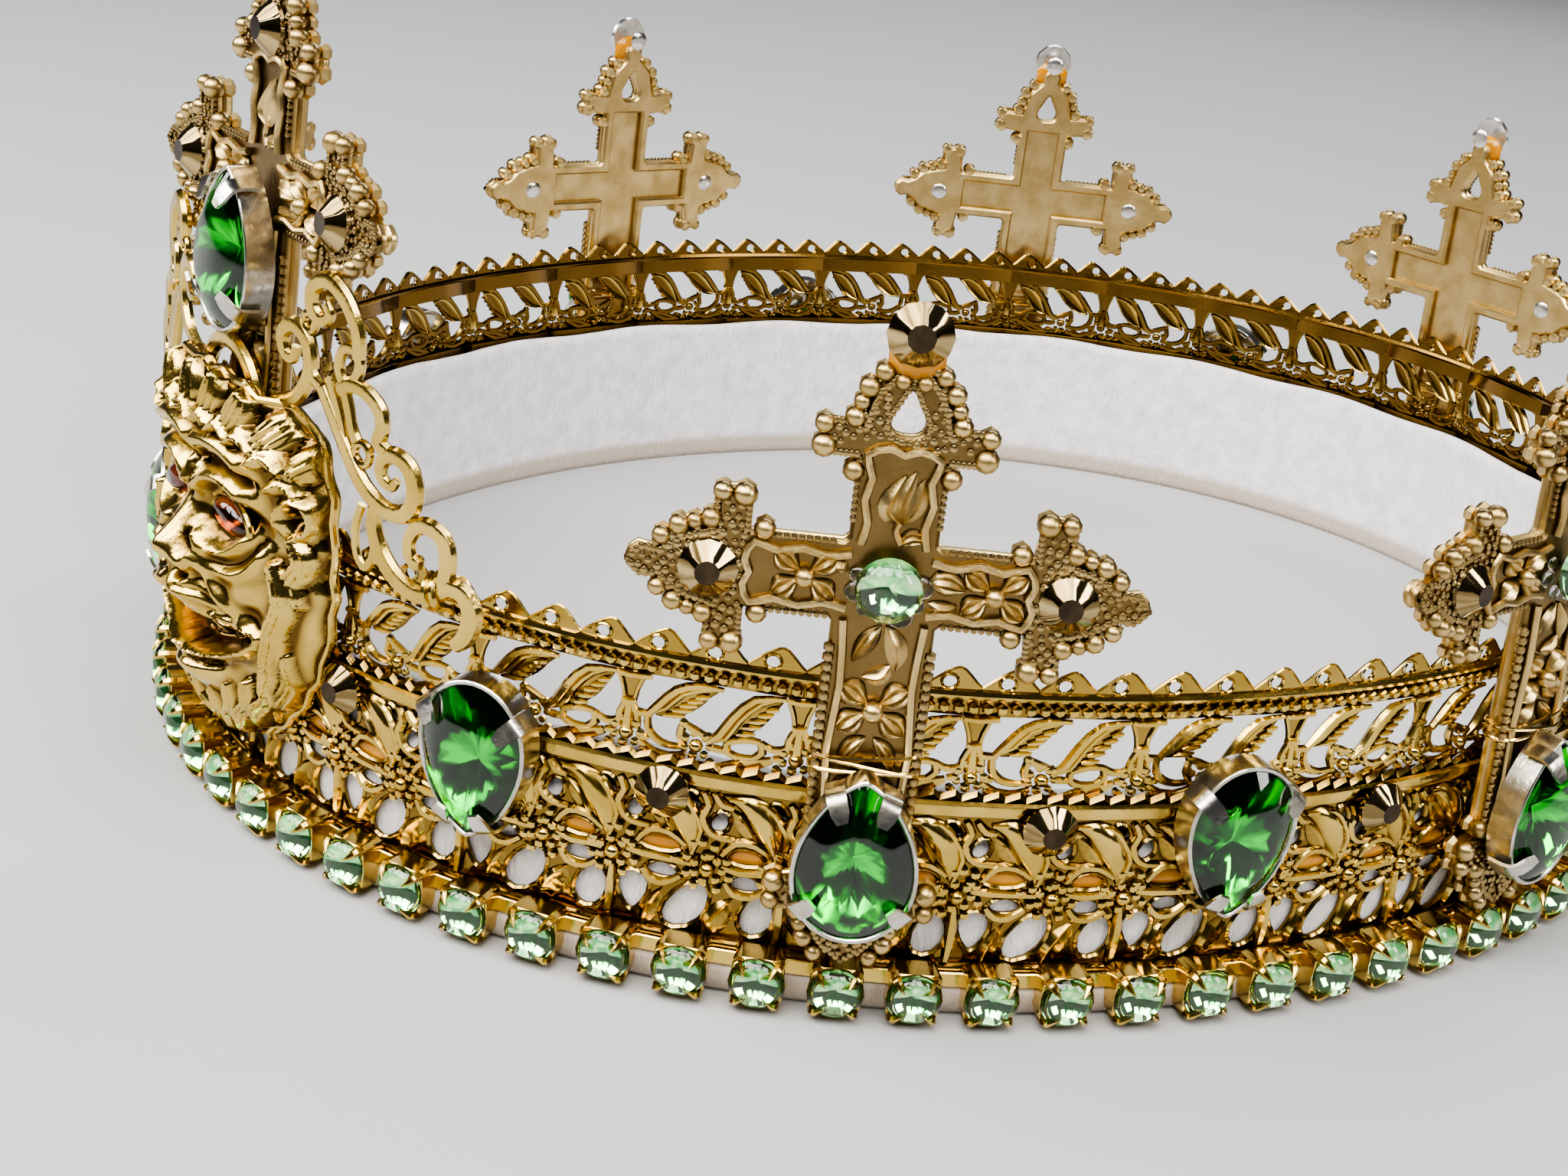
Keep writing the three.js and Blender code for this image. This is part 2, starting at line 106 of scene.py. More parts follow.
class NodeSheet:
    """A material's node tree with short ways to add and fill nodes."""

    def __init__(self, name: str) -> None:
        """Starts a material with one principled surface."""
        self.material = bpy.data.materials.new(name)
        self.material.use_nodes = True
        self.tree = self.material.node_tree
        self.surface = self.tree.nodes["Principled BSDF"]
        self.place = self.add("ShaderNodeTexCoord").outputs["Object"]

    def fill(self, node: bpy.types.Node, **inputs: object) -> bpy.types.Node:
        """Sets a node's sockets.

        Args:
            node: the node.
            inputs: a value or an output for each socket, with underscores for spaces.

        Returns:
            The node.
        """
        for name, value in inputs.items():
            socket = node.inputs[name.replace("_", " ")]
            if isinstance(value, Socket):
                self.tree.links.new(value, socket)
            else:
                socket.default_value = value
        return node

    def add(self, kind: str, **inputs: object) -> bpy.types.Node:
        """Adds a node of a kind and sets its sockets."""
        return self.fill(self.tree.nodes.new(kind), **inputs)

    def mottle(self, size: float, detail: float = 3.0) -> Socket:
        """Gives noise whose blotches are about size millimetres across."""
        scale = 1.0 / (size * MM)
        return self.add("ShaderNodeTexNoise", Scale=scale, Detail=detail, Vector=self.place).outputs["Fac"]

    def facets(self, spread: float) -> Socket:
        """Gives noise that changes from one flat facet to the next."""
        facing = self.add("ShaderNodeNewGeometry").outputs["Normal"]
        return self.add("ShaderNodeTexNoise", Scale=spread, Detail=1.0, Vector=facing).outputs["Fac"]

    def spread(self, share: Socket, reach: Point, given: Point) -> Socket:
        """Maps a share from its reach to the given range, clamped."""
        ends = dict(zip(("From_Min", "From_Max", "To_Min", "To_Max"), (*reach, *given)))
        return self.add("ShaderNodeMapRange", Value=share, **ends).outputs["Result"]

    def blend(self, share: Socket, first: object, second: object) -> Socket:
        """Mixes two colours, each a plain colour or a socket.

        Args:
            share: the share of the second one.
            first: the colour where the share is 0.
            second: the colour where the share is 1.

        Returns:
            The mixed colour.
        """
        node = self.tree.nodes.new("ShaderNodeMix")
        node.data_type = "RGBA"
        self.tree.links.new(share, node.inputs[0])
        for socket, colour in ((node.inputs[6], first), (node.inputs[7], second)):
            if isinstance(colour, tuple):
                socket.default_value = (*colour, 1.0)
            else:
                self.tree.links.new(colour, socket)
        return node.outputs[2]

    def dent(self, height: Socket, depth: float) -> None:
        """Lets a height bump the surface by a depth in millimetres."""
        bump = self.add("ShaderNodeBump", Strength=1.0, Distance=depth * MM, Height=height)
        self.fill(self.surface, Normal=bump.outputs["Normal"])


@dataclass(frozen=True)
class Metal:
    """Plated or cast metal, brighter on its high places than in its hollows, which painted shade darkens."""

    name: str
    bright: Colour
    dull: Colour
    roughness: Point
    blotch: float = 0.0
    pits: float = 0.0
    # hollow is the colour of the painted shade in recesses.
    hollow: Colour = (0.0, 0.0, 0.0)
    painted_shade_reach: Point = (0.0, 0.0)
    facet_spread: float = 0.0

    def material(self) -> Material:
        """Makes the metal's nodes.

        Returns:
            The material.
        """
        sheet = NodeSheet(self.name)
        patches = sheet.facets(self.facet_spread) if self.facet_spread else sheet.mottle(self.blotch)
        colour = sheet.blend(sheet.spread(patches, PATCH_REACH, (0.0, 1.0)), self.bright, self.dull)
        # Painted shade: low places, read from the relief attribute, blend towards the hollow colour.
        if self.painted_shade_reach[1] > self.painted_shade_reach[0]:
            relief = sheet.add("ShaderNodeAttribute")
            relief.attribute_name = "relief"
            shade_share = sheet.spread(relief.outputs["Fac"], self.painted_shade_reach, (1.0, 0.0))
            colour = sheet.blend(shade_share, colour, self.hollow)
        rough = sheet.spread(patches, SHEEN_REACH, self.roughness)
        sheet.fill(sheet.surface, Base_Color=colour, Metallic=1.0, Roughness=rough)
        sheet.dent(sheet.mottle(PIT_SIZE), self.pits)
        return sheet.material


@dataclass(frozen=True)
class Glass:
    """Clear tinted glass or glue."""

    name: str
    tint: Colour
    streak: Colour
    roughness: float
    ior: float = 1.55
    clear: float = 1.0

    def material(self) -> Material:
        """Makes the glass's nodes.

        Returns:
            The material.
        """
        sheet = NodeSheet(self.name)
        share = sheet.spread(sheet.mottle(STREAK_SIZE), STREAK_REACH, (0.0, 1.0))
        colour = sheet.blend(share, self.tint, self.streak)
        sheet.fill(sheet.surface, Base_Color=colour, Roughness=self.roughness)
        sheet.fill(sheet.surface, IOR=self.ior, Transmission_Weight=self.clear)
        return sheet.material


@dataclass(frozen=True)
class Felt:
    """White felt: ribbed, fuzzy and beige along its foot."""

    name: str = "white_felt"
    fresh: Colour = (0.80, 0.79, 0.80)
    grey: Colour = (0.62, 0.61, 0.63)
    foot_beige: Colour = (0.45, 0.38, 0.32)
    hem: Point = (0.0022, 0.0034)
    cloud_size: float = 2.2
    roughness: float = 0.95
    sheen: float = 0.35
    fibre_scale: float = 2600.0
    fibre_depth: float = 0.35

    def material(self) -> Material:
        """Makes the felt's nodes.

        Returns:
            The material.
        """
        sheet = NodeSheet(self.name)
        cloud = sheet.spread(sheet.mottle(self.cloud_size, 5.0), (0.35, 0.7), (0.0, 1.0))
        colour = sheet.blend(cloud, self.fresh, self.grey)
        height = sheet.add("ShaderNodeSeparateXYZ", Vector=sheet.place).outputs["Z"]
        # Beige towards the bottom edge, below the hem's heights.
        colour = sheet.blend(sheet.spread(height, self.hem, (1.0, 0.0)), colour, self.foot_beige)
        sheet.fill(sheet.surface, Base_Color=colour, Roughness=self.roughness)
        sheet.fill(sheet.surface, Sheen_Weight=self.sheen, Sheen_Roughness=0.5)
        stretch = sheet.add("ShaderNodeMapping", Scale=(1.0, 1.0, 0.25), Vector=sheet.place)
        fibres = sheet.add("ShaderNodeTexNoise", Scale=self.fibre_scale, Detail=4.0)
        sheet.fill(fibres, Vector=stretch.outputs["Vector"])
        sheet.dent(fibres.outputs["Fac"], self.fibre_depth)
        return sheet.material


@dataclass(frozen=True)
class Floor:
    """The plain pale studio floor."""

    name: str = "pale_floor"
    light: Colour = (0.42, 0.42, 0.43)
    shade: Colour = (0.39, 0.39, 0.40)
    cloud_size: float = 60.0
    roughness: float = 0.7

    def material(self) -> Material:
        """Makes the floor's nodes.

        Returns:
            The material.
        """
        sheet = NodeSheet(self.name)
        colour = sheet.blend(sheet.mottle(self.cloud_size), self.light, self.shade)
        sheet.fill(sheet.surface, Base_Color=colour, Roughness=self.roughness)
        return sheet.material


POLISHED_GILT = Metal(
    "polished_gilt", (0.69, 0.50, 0.145), (0.52, 0.36, 0.08), (0.10, 0.20), 5.0, 0.012,
    hollow=(0.15, 0.085, 0.02), painted_shade_reach=(0.0, 0.9),
)
ANTIQUE_GILT = Metal(
    "antique_gilt", (0.64, 0.48, 0.22), (0.49, 0.35, 0.14), (0.26, 0.38), 3.0, 0.03,
    hollow=(0.17, 0.11, 0.04), painted_shade_reach=(0.0, 0.8),
)
MASK_GILT = Metal(
    "mask_gilt", (0.70, 0.51, 0.15), (0.55, 0.385, 0.09), (0.13, 0.22), 5.0, 0.03,
    hollow=(0.13, 0.075, 0.02), painted_shade_reach=(0.0, 0.9),
)
WIRE_GILT = Metal("wire_gilt", (0.82, 0.60, 0.22), (0.74, 0.50, 0.16), (0.14, 0.22), 2.0, 0.005)
SILVER = Metal("setting_silver", (0.66, 0.64, 0.60), (0.46, 0.42, 0.35), (0.14, 0.30), 2.0, 0.02)
STONE_FOIL = Metal("stone_foil", (0.80, 0.79, 0.77), (0.66, 0.64, 0.60), (0.18, 0.30), 1.5, 0.01)
# Painted reflection: the bronze stones' flat tops are near black, standing in for the dark room they would
# reflect.
PAINTED_TABLE_REFLECTION = Metal("bronze_table_painted_reflection", (0.07, 0.05, 0.03), (0.04, 0.03, 0.02), (0.03, 0.06), 2.0)
BRONZE_COAT = Metal("bronze_coat", (0.50, 0.38, 0.19), (0.20, 0.14, 0.06), (0.05, 0.10), facet_spread=3.2)
GREEN_FOIL = Metal("emerald_foil", (0.10, 0.86, 0.14), (0.01, 0.16, 0.03), (0.03, 0.14), facet_spread=6.0)
PALE_FOIL = Metal("peridot_foil", (0.74, 0.98, 0.62), (0.24, 0.66, 0.30), (0.03, 0.14), facet_spread=6.0)
RED_FOIL = Metal("ruby_foil", (0.80, 0.06, 0.03), (0.40, 0.02, 0.02), (0.05, 0.30), facet_spread=6.0)
GREEN_GLASS = Glass("emerald_glass", (0.36, 0.94, 0.38), (0.26, 0.88, 0.30), 0.01, 1.6)
PALE_GLASS = Glass("peridot_glass", (0.84, 0.99, 0.82), (0.76, 0.96, 0.78), 0.01, 1.6)
RED_GLASS = Glass("ruby_glass", (0.95, 0.30, 0.25), (0.92, 0.24, 0.20), 0.02, 1.6)
AMBER_GLUE = Glass("amber_glue", (0.90, 0.42, 0.02), (0.80, 0.32, 0.01), 0.08, 1.48, 0.45)
CLEAR_GLUE = Glass("clear_glue", (0.93, 0.93, 0.90), (0.86, 0.86, 0.82), 0.16, 1.45)


# Working in the flat


def mesh_from(part: bmesh.types.BMesh, name: str) -> bpy.types.Mesh:
    """Makes a worked part a mesh and drops the part.

    Args:
        part: the part.
        name: the mesh's name.

    Returns:
        The mesh.
    """
    mesh = bpy.data.meshes.new(name)
    part.to_mesh(mesh)
    part.free()
    return mesh


def linked(name: str, data: bpy.types.ID) -> bpy.types.Object:
    """Puts an object with the given data into the scene."""
    item = bpy.data.objects.new(name, data)
    bpy.context.scene.collection.objects.link(item)
    return item


def eased(points: Points, steps: int, closed: bool = False) -> Array:
    """Rounds a few points into a smooth path.

    Args:
        points: the points that the path goes through.
        steps: how many steps lie between two of them.
        closed: whether the path comes back to its start.

    Returns:
        The path's points, one a row.
    """
    knots = np.array(points, float)
    if closed:
        padded = np.vstack([knots[-1:], knots, knots[:2]])
        spans = len(knots)
    else:
        padded = np.vstack([2 * knots[:1] - knots[1:2], knots, 2 * knots[-1:] - knots[-2:-1]])
        spans = len(knots) - 1
    t = np.linspace(0.0, 1.0, steps, endpoint=False)[:, None]
    rows = []
    for i in range(spans):
        a, b, c, d = padded[i : i + 4]
        cubic = 2 * b + (c - a) * t + (2 * a - 5 * b + 4 * c - d) * t**2 + (3 * b - a - 3 * c + d) * t**3
        rows.append(0.5 * cubic)
    if not closed:
        rows.append(knots[-1:])
    return np.vstack(rows)


def ring_of(centre: Point, radius: float, count: int) -> list[Point]:
    """Gives points on a circle."""
    turns = [2 * math.pi * i / count for i in range(count)]
    return [(centre[0] + radius * math.cos(a), centre[1] + radius * math.sin(a)) for a in turns]


def turned(points: Points, degrees: float) -> list[Point]:
    """Turns flat points about the origin."""
    c, s = math.cos(math.radians(degrees)), math.sin(math.radians(degrees))
    return [(x * c - y * s, x * s + y * c) for x, y in points]


def bell(x: Array, y: Array, at: Point, size: Point, tilt: float = 0.0) -> Array:
    """A rounded rise of height 1 over flat places.

    Args:
        x: places across.
        y: places up.
        at: the middle of the rise.
        size: its reach along its own two directions.
        tilt: degrees that it is turned by.

    Returns:
        The rise at each place.
    """
    c, s = math.cos(math.radians(tilt)), math.sin(math.radians(tilt))
    u = (x - at[0]) * c + (y - at[1]) * s
    v = (y - at[1]) * c - (x - at[0]) * s
    return np.exp(-((u / size[0]) ** 2) - (v / size[1]) ** 2)


def along_path(x: Array, y: Array, points: Points) -> tuple[Array, Array]:
    """Finds where flat places lie along a smooth path.

    Args:
        x: places across.
        y: places up.
        points: a few points of the path.

    Returns:
        Each place's share of the way along the path and its distance from it.
    """
    line = eased(points, 6)
    spans = len(line) - 1
    share = np.zeros_like(x)
    apart = np.full_like(x, np.inf)
    for i in range(spans):
        dx, dy = line[i + 1] - line[i]
        t = np.clip(((x - line[i, 0]) * dx + (y - line[i, 1]) * dy) / (dx * dx + dy * dy), 0.0, 1.0)
        east, north = x - line[i, 0] - t * dx, y - line[i, 1] - t * dy
        gap = np.hypot(east, north)
        side = np.where(dx * north - dy * east < 0, -gap, gap)
        nearer = gap < np.abs(apart)
        share = np.where(nearer, (i + t) / spans, share)
        apart = np.where(nearer, side, apart)
    return share, apart


@dataclass(frozen=True)
class FacetRow:
    """A ring of a cut stone's corners: share of the outline, height, number and half-step offset."""

    share: float
    height: float
    count: int
    phase: float = 0.0


@dataclass
class Casting:
    """A worked shape as arrays, ready to be laid on the crown any number of times."""

    points: Array
    corners: Array
    starts: Array
    coats: Array
    smooth: Array
    relief: Array

    @classmethod
    def of(cls, mesh: bpy.types.Mesh) -> "Casting":
        """Reads a mesh's arrays and drops the mesh.

        Args:
            mesh: the mesh.

        Returns:
            Its shape.
        """

        def read(source: bpy.types.bpy_prop_collection, name: str, width: int, kind: type) -> Array:
            """Reads one value of every item."""
            values = np.empty(len(source) * width, kind)
            source.foreach_get(name, values)
            return values

        shape = cls(
            read(mesh.vertices, "co", 3, np.float32).reshape(-1, 3).astype(float),
            read(mesh.loops, "vertex_index", 1, np.int32),
            read(mesh.polygons, "loop_start", 1, np.int32),
            read(mesh.polygons, "material_index", 1, np.int32),
            read(mesh.polygons, "use_smooth", 1, bool),
            np.ones(len(mesh.vertices)),
        )
        bpy.data.meshes.remove(mesh)
        return shape

    @classmethod
    def joined(cls, parts: Sequence["Casting"]) -> "Casting":
        """Joins shapes into one.

        Args:
            parts: the shapes.

        Returns:
            The joined shape.
        """
        verts = np.cumsum([0, *(len(part.points) for part in parts)])
        loops = np.cumsum([0, *(len(part.corners) for part in parts)])
        return cls(
            np.concatenate([part.points for part in parts]),
            np.concatenate([part.corners + first for part, first in zip(parts, verts)]),
            np.concatenate([part.starts + first for part, first in zip(parts, loops)]),
            np.concatenate([part.coats for part in parts]),
            np.concatenate([part.smooth for part in parts]),
            np.concatenate([part.relief for part in parts]),
        )

    def placed(self, spot: Matrix, coat: int) -> "Casting":
        """Gives a copy in another place and finish."""
        grid = np.array(spot)
        points = self.points @ grid[:3, :3].T + grid[:3, 3]
        return replace(self, points=points, coats=np.full_like(self.coats, coat))

    def laid(self, name: str, copies: Sequence[Array]) -> bpy.types.Mesh:
        """Joins copies of the shape into one mesh.

        Args:
            name: the mesh's name.
            copies: each copy's points in metres, in the shape's own order.

        Returns:
            The mesh, with each point's height over the ground kept as the attribute relief, which sets where
            painted shade darkens the metal.
        """
        count = len(copies)
        size = len(self.points)
        steps = np.arange(count)[:, None]
        mesh = bpy.data.meshes.new(name)
        mesh.vertices.add(size * count)
        mesh.vertices.foreach_set("co", np.concatenate(copies).astype(np.float32).ravel())
        mesh.loops.add(len(self.corners) * count)
        mesh.loops.foreach_set("vertex_index", (self.corners + steps * size).ravel())
        mesh.polygons.add(len(self.starts) * count)
        mesh.polygons.foreach_set("loop_start", (self.starts + steps * len(self.corners)).ravel())
        mesh.polygons.foreach_set("material_index", np.tile(self.coats, count))
        mesh.polygons.foreach_set("use_smooth", np.tile(self.smooth, count))
        mesh.update(calc_edges=True)
        mesh.validate()
        relief = mesh.attributes.new("relief", "FLOAT", "POINT")
        relief.data.foreach_set("value", np.tile(self.relief, count).astype(np.float32))
        mesh.set_sharp_from_angle(angle=SHARP_EDGE)
        return mesh

    def seated(self, name: str, seats: Sequence[Matrix]) -> bpy.types.Mesh:
        """Joins copies of the shape, each placed whole by a seat."""
        return self.laid(name, [self.placed(seat, 0).points for seat in seats])


@lru_cache
def ball(around: int, down: int) -> Casting:
    """Gives a ball of radius 1.

    Args:
        around: number of faces round it.
        down: number of faces from pole to pole.

    Returns:
        The ball.
    """
    part = bmesh.new()
    bmesh.ops.create_uvsphere(part, u_segments=around, v_segments=down, radius=1.0)
    mesh = mesh_from(part, "ball")
    mesh.polygons.foreach_set("use_smooth", [True] * len(mesh.polygons))
    return Casting.of(mesh)


class Workpiece:
    """Metal or glass being worked in the flat."""

    def __init__(self) -> None:
        """Starts with nothing on the bench."""
        self.parts: list[Casting] = []

    def take(self, mesh: bpy.types.Mesh) -> None:
        """Adds a finished mesh, shaded smooth, and drops it."""
        mesh.polygons.foreach_set("use_smooth", [True] * len(mesh.polygons))
        self.parts.append(Casting.of(mesh))

    def take_bmesh(self, part: bmesh.types.BMesh) -> None:
        """Adds a part worked on its own, its faces turned outwards."""
        bmesh.ops.recalc_face_normals(part, faces=part.faces[:])
        mesh = mesh_from(part, "part")
        self.take(mesh)

    def bead(
        self, centre: Point, radius: float, stretch: Point = (1.0, 1.0, 1.0), fine: bool = False,
        coat: int = 0,
    ) -> None:
        """Adds a ball.

        Args:
            centre: its middle.
            radius: its radius before stretching.
            stretch: its stretch along its own X, Y and Z.
            fine: whether it is large enough to need more faces.
            coat: its finish's place in the list.
        """
        size = Matrix.Diagonal((*(radius * share for share in stretch), 1.0))
        faces = PLAIN_BALL if radius > GRAIN_RADIUS else GRAIN_BALL
        if fine:
            faces = FINE_BALL
        self.parts.append(ball(*faces).placed(Matrix.Translation(centre) @ size, coat))

    def beads(self, path: Array, radius: float, pitch: float, z: float, flat: float = 1.0) -> None:
        """Sets a row of balls along a flat path, a pitch apart."""
        steps = np.hypot(*np.diff(path[:, :2], axis=0).T)
        along = np.concatenate([[0.0], np.cumsum(steps)])
        for spot in np.linspace(0.0, along[-1], max(2, round(along[-1] / pitch) + 1)):
            x = np.interp(spot, along, path[:, 0])
            y = np.interp(spot, along, path[:, 1])
            self.bead((x, y, z), radius, (1.0, 1.0, flat))

    def wire(
        self, points: Points, radius: float, z: float = 0.0, flat: float = 1.0, closed: bool = False,
        taper: Sequence[float] = (1.0,), sides: Sides = Sides.COARSE, steps: int = 2, capped: bool = True,
    ) -> None:
        """Adds a drawn wire along a smooth path.

        Args:
            points: a few points of its middle line, flat or in space.
            radius: its radius where taper is 1.
            z: height of a flat path.
            flat: how far it is flattened towards the flat.
            closed: whether it is a ring.
            taper: shares of the radius, evenly spaced along it.
            sides: how round it is.
            steps: steps between two points.
            capped: whether its ends are closed.
        """
        path = eased(points, steps, closed)
        if path.shape[1] == 2:
            path = np.column_stack([path, np.zeros(len(path))])
        widths = np.interp(np.linspace(0, 1, len(path)), np.linspace(0, 1, len(taper)), taper)
        curve = bpy.data.curves.new("wire", "CURVE")
        curve.dimensions = "3D"
        curve.bevel_depth = radius
        curve.bevel_resolution = sides.value
        curve.use_fill_caps = capped and not closed
        self.add_spline(curve, path, closed, widths)
        mesh = self.mesh_of(curve)
        mesh.transform(Matrix.Translation((0, 0, z)) @ Matrix.Diagonal((1, 1, flat, 1)))
        self.take(mesh)

    def plate(self, loops: Sequence[Points], low: float, high: float, bevel: float = 0.1) -> None:
        """Adds a flat plate with chamfered edges.

        Args:
            loops: its outline, then the outlines of its holes.
            low: its back's height.
            high: its face's height.
            bevel: how far its edges are cut off.
        """
        curve = bpy.data.curves.new("plate", "CURVE")
        curve.dimensions = "2D"
        curve.fill_mode = "BOTH"
        curve.extrude = (high - low) / 2 - bevel
        curve.bevel_depth = bevel
        curve.bevel_resolution = 0
        curve.offset = -bevel
        for loop in loops:
            rows = np.column_stack([np.array(loop, float), np.zeros(len(loop))])
            self.add_spline(curve, rows, True, np.ones(len(loop)))
        mesh = self.mesh_of(curve)
        mesh.transform(Matrix.Translation((0, 0, (low + high) / 2)))
        part = bmesh.new()
        part.from_mesh(mesh)
        bpy.data.meshes.remove(mesh)
        bmesh.ops.remove_doubles(part, verts=part.verts[:], dist=WELD)
        self.take_bmesh(part)

    @staticmethod
    def add_spline(curve: bpy.types.Curve, path: Array, closed: bool, widths: Array) -> None:
        """Gives a curve one spline through a path."""
        spline = curve.splines.new("POLY")
        spline.points.add(len(path) - 1)
        spline.points.foreach_set("co", np.column_stack([path, np.ones(len(path))]).ravel())
        spline.points.foreach_set("radius", widths)
        spline.use_cyclic_u = closed

    @staticmethod
    def mesh_of(curve: bpy.types.Curve) -> bpy.types.Mesh:
        """Makes a drawn curve a mesh and drops the curve."""
        holder = bpy.data.objects.new("drawn", curve)
        mesh = bpy.data.meshes.new_from_object(holder)
        bpy.data.objects.remove(holder)
        bpy.data.curves.remove(curve)
        return mesh

    def blade(
        self, points: Points, width: float, rise: float, grain: Grain, z: float = 0.0,
        cuts: tuple[int, int] = (18, 6), ribs: int = 5, fullest: float = 1.0, thick: float = 0.35,
    ) -> None:
        """Adds a leaf, petal or lock of hair.

        Args:
            points: its middle line from root to tip.
            width: its greatest width.
            rise: how far its middle stands up.
            grain: what its face shows.
            z: height of its edges.
            cuts: steps along it and across it.
            ribs: number of ribs or strands.
            fullest: below 1 it is widest near the root, above 1 near the tip.
            thick: its thickness below its face.
        """
        path = eased(points, 8)
        along = np.linspace(0.0, 1.0, len(path))
        part = bmesh.new()
        made = bmesh.ops.create_grid(part, x_segments=cuts[0], y_segments=cuts[1], size=0.5)
        spots = np.array([vert.co[:2] for vert in made["verts"]])
        t, s = spots[:, 0] + 0.5, 2.0 * spots[:, 1]

        def spot_at(share: Array) -> Array:
            """Finds places along the middle line."""
            return np.column_stack([np.interp(share, along, path[:, k]) for k in (0, 1)])

        run = spot_at(np.minimum(t + 0.02, 1.0)) - spot_at(np.maximum(t - 0.02, 0.0))
        run /= np.hypot(*run.T)[:, None]
        swell = np.maximum(np.sin(np.pi * t**fullest), 0.0) ** 0.7
        half = 0.5 * width * np.maximum(swell, 0.12)
        height = z + self.face_of(grain, t, s, ribs) * rise * np.maximum(swell, 0.3)
        flat = spot_at(t) + np.column_stack([-run[:, 1], run[:, 0]]) * (half * s)[:, None]
        for vert, place, up in zip(made["verts"], flat, height):
            vert.co = (*place, up)
        bmesh.ops.recalc_face_normals(part, faces=part.faces[:])
        bmesh.ops.solidify(part, geom=part.faces[:], thickness=thick)
        self.take_bmesh(part)

    def strap(
        self, points: Points, aside: Point, width: float, thick: float, taper: Sequence[float]
    ) -> None:
        """Adds a flat metal strap bent along a path in space.

        Args:
            points: a few points of its middle line.
            aside: the direction across it.
            width: its width where taper is 1.
            thick: its thickness.
            taper: shares of the width, evenly spaced along it.
        """
        path = eased(points, 4)
        part = bmesh.new()
        made = bmesh.ops.create_grid(part, x_segments=len(path) - 1, y_segments=4, size=0.5)
        for vert in made["verts"]:
            step = round((vert.co.x + 0.5) * (len(path) - 1))
            share = np.interp(step / (len(path) - 1), np.linspace(0, 1, len(taper)), taper)
            off = vert.co.y * width * share
            vert.co = Vector(path[step]) + Vector(aside) * off
        bmesh.ops.recalc_face_normals(part, faces=part.faces[:])
        bmesh.ops.solidify(part, geom=part.faces[:], thickness=thick)
        self.take_bmesh(part)

    @staticmethod
    def face_of(grain: Grain, t: Array, s: Array, ribs: int) -> Array:
        """Height of a blade's face, as a share of its rise.

        Args:
            grain: what the face shows.
            t: places along it, from root to tip.
            s: places across it, from -1 to 1.
            ribs: number of ribs or strands.

        Returns:
            The heights.
        """
        dome = np.maximum(1.0 - s * s, 0.0)
        if grain is Grain.VEINED:
            rim = np.exp(-(((s - 0.6) / 0.3) ** 2))
            comb = 0.5 + 0.5 * np.cos(2 * np.pi * (ribs * t + 0.5 * s))
            return 0.25 * dome + 0.9 * rim + 0.6 * comb * np.maximum(0.0, 0.35 - s) * dome
        if grain is Grain.STRANDED:
            return 0.75 * np.sqrt(dome) + 0.28 * np.cos(np.pi * ribs * s)
        if grain is Grain.PETAL:
            return 0.8 * np.sqrt(dome) + 0.32 * np.cos(np.pi * ribs * s) * dome * np.minimum(1.0, 2.5 * t)
        return np.sqrt(dome)

    def gem(
        self, rows: Sequence[FacetRow], outline: Outline, spot: Matrix, foil: int = 0, table: int = 0
    ) -> None:
        """Adds a cut stone, the hull of its rows of corners.

        Args:
            rows: its rows of corners, from table to base.
            outline: the girdle's outline by angle.
            spot: where it sits.
            foil: place in the list of finishes for what lies below the girdle.
            table: place in the list of finishes for the flat top.
        """
        part = bmesh.new()
        for row in rows:
            for i in range(row.count):
                x, y = outline(2 * math.pi * (i + row.phase) / row.count)
                part.verts.new((x * row.share, y * row.share, row.height))
        made = bmesh.ops.convex_hull(part, input=part.verts[:], use_existing_faces=False)
        spare = {item for key in ("geom_interior", "geom_unused") for item in made[key]}
        loose = [item for item in spare if isinstance(item, bmesh.types.BMVert)]
        bmesh.ops.delete(part, geom=loose, context="VERTS")
        bmesh.ops.dissolve_limit(
            part, angle_limit=math.radians(1.5), verts=part.verts[:], edges=part.edges[:]
        )
        bmesh.ops.recalc_face_normals(part, faces=part.faces[:])
        for face in part.faces:
            if face.normal.z < -0.05:
                face.material_index = foil
            elif face.normal.z > 0.99:
                face.material_index = table
        bmesh.ops.transform(part, matrix=spot, verts=part.verts[:])
        self.parts.append(Casting.of(mesh_from(part, "gem")))

    def casting(self, ground: float | None = None, rise: float = 1.0) -> Casting:
        """Takes the finished shape off the bench.

        Args:
            ground: height of the ground below which painted shade darkens the metal, or none to keep what the
                parts say.
            rise: height over the ground where the painted shade has faded out.

        Returns:
            The shape's arrays.
        """
        shape = Casting.joined(self.parts)
        if ground is None:
            return shape
        # The relief share sets painted shade: low places get the hollow colour.
        heights = shape.points[:, 2]
        relief = np.clip((heights - ground) / rise, 0.0, 1.0)
        relief[heights < ground - BEHIND] = 1.0
        return replace(shape, relief=relief)


# The oval that everything stands on


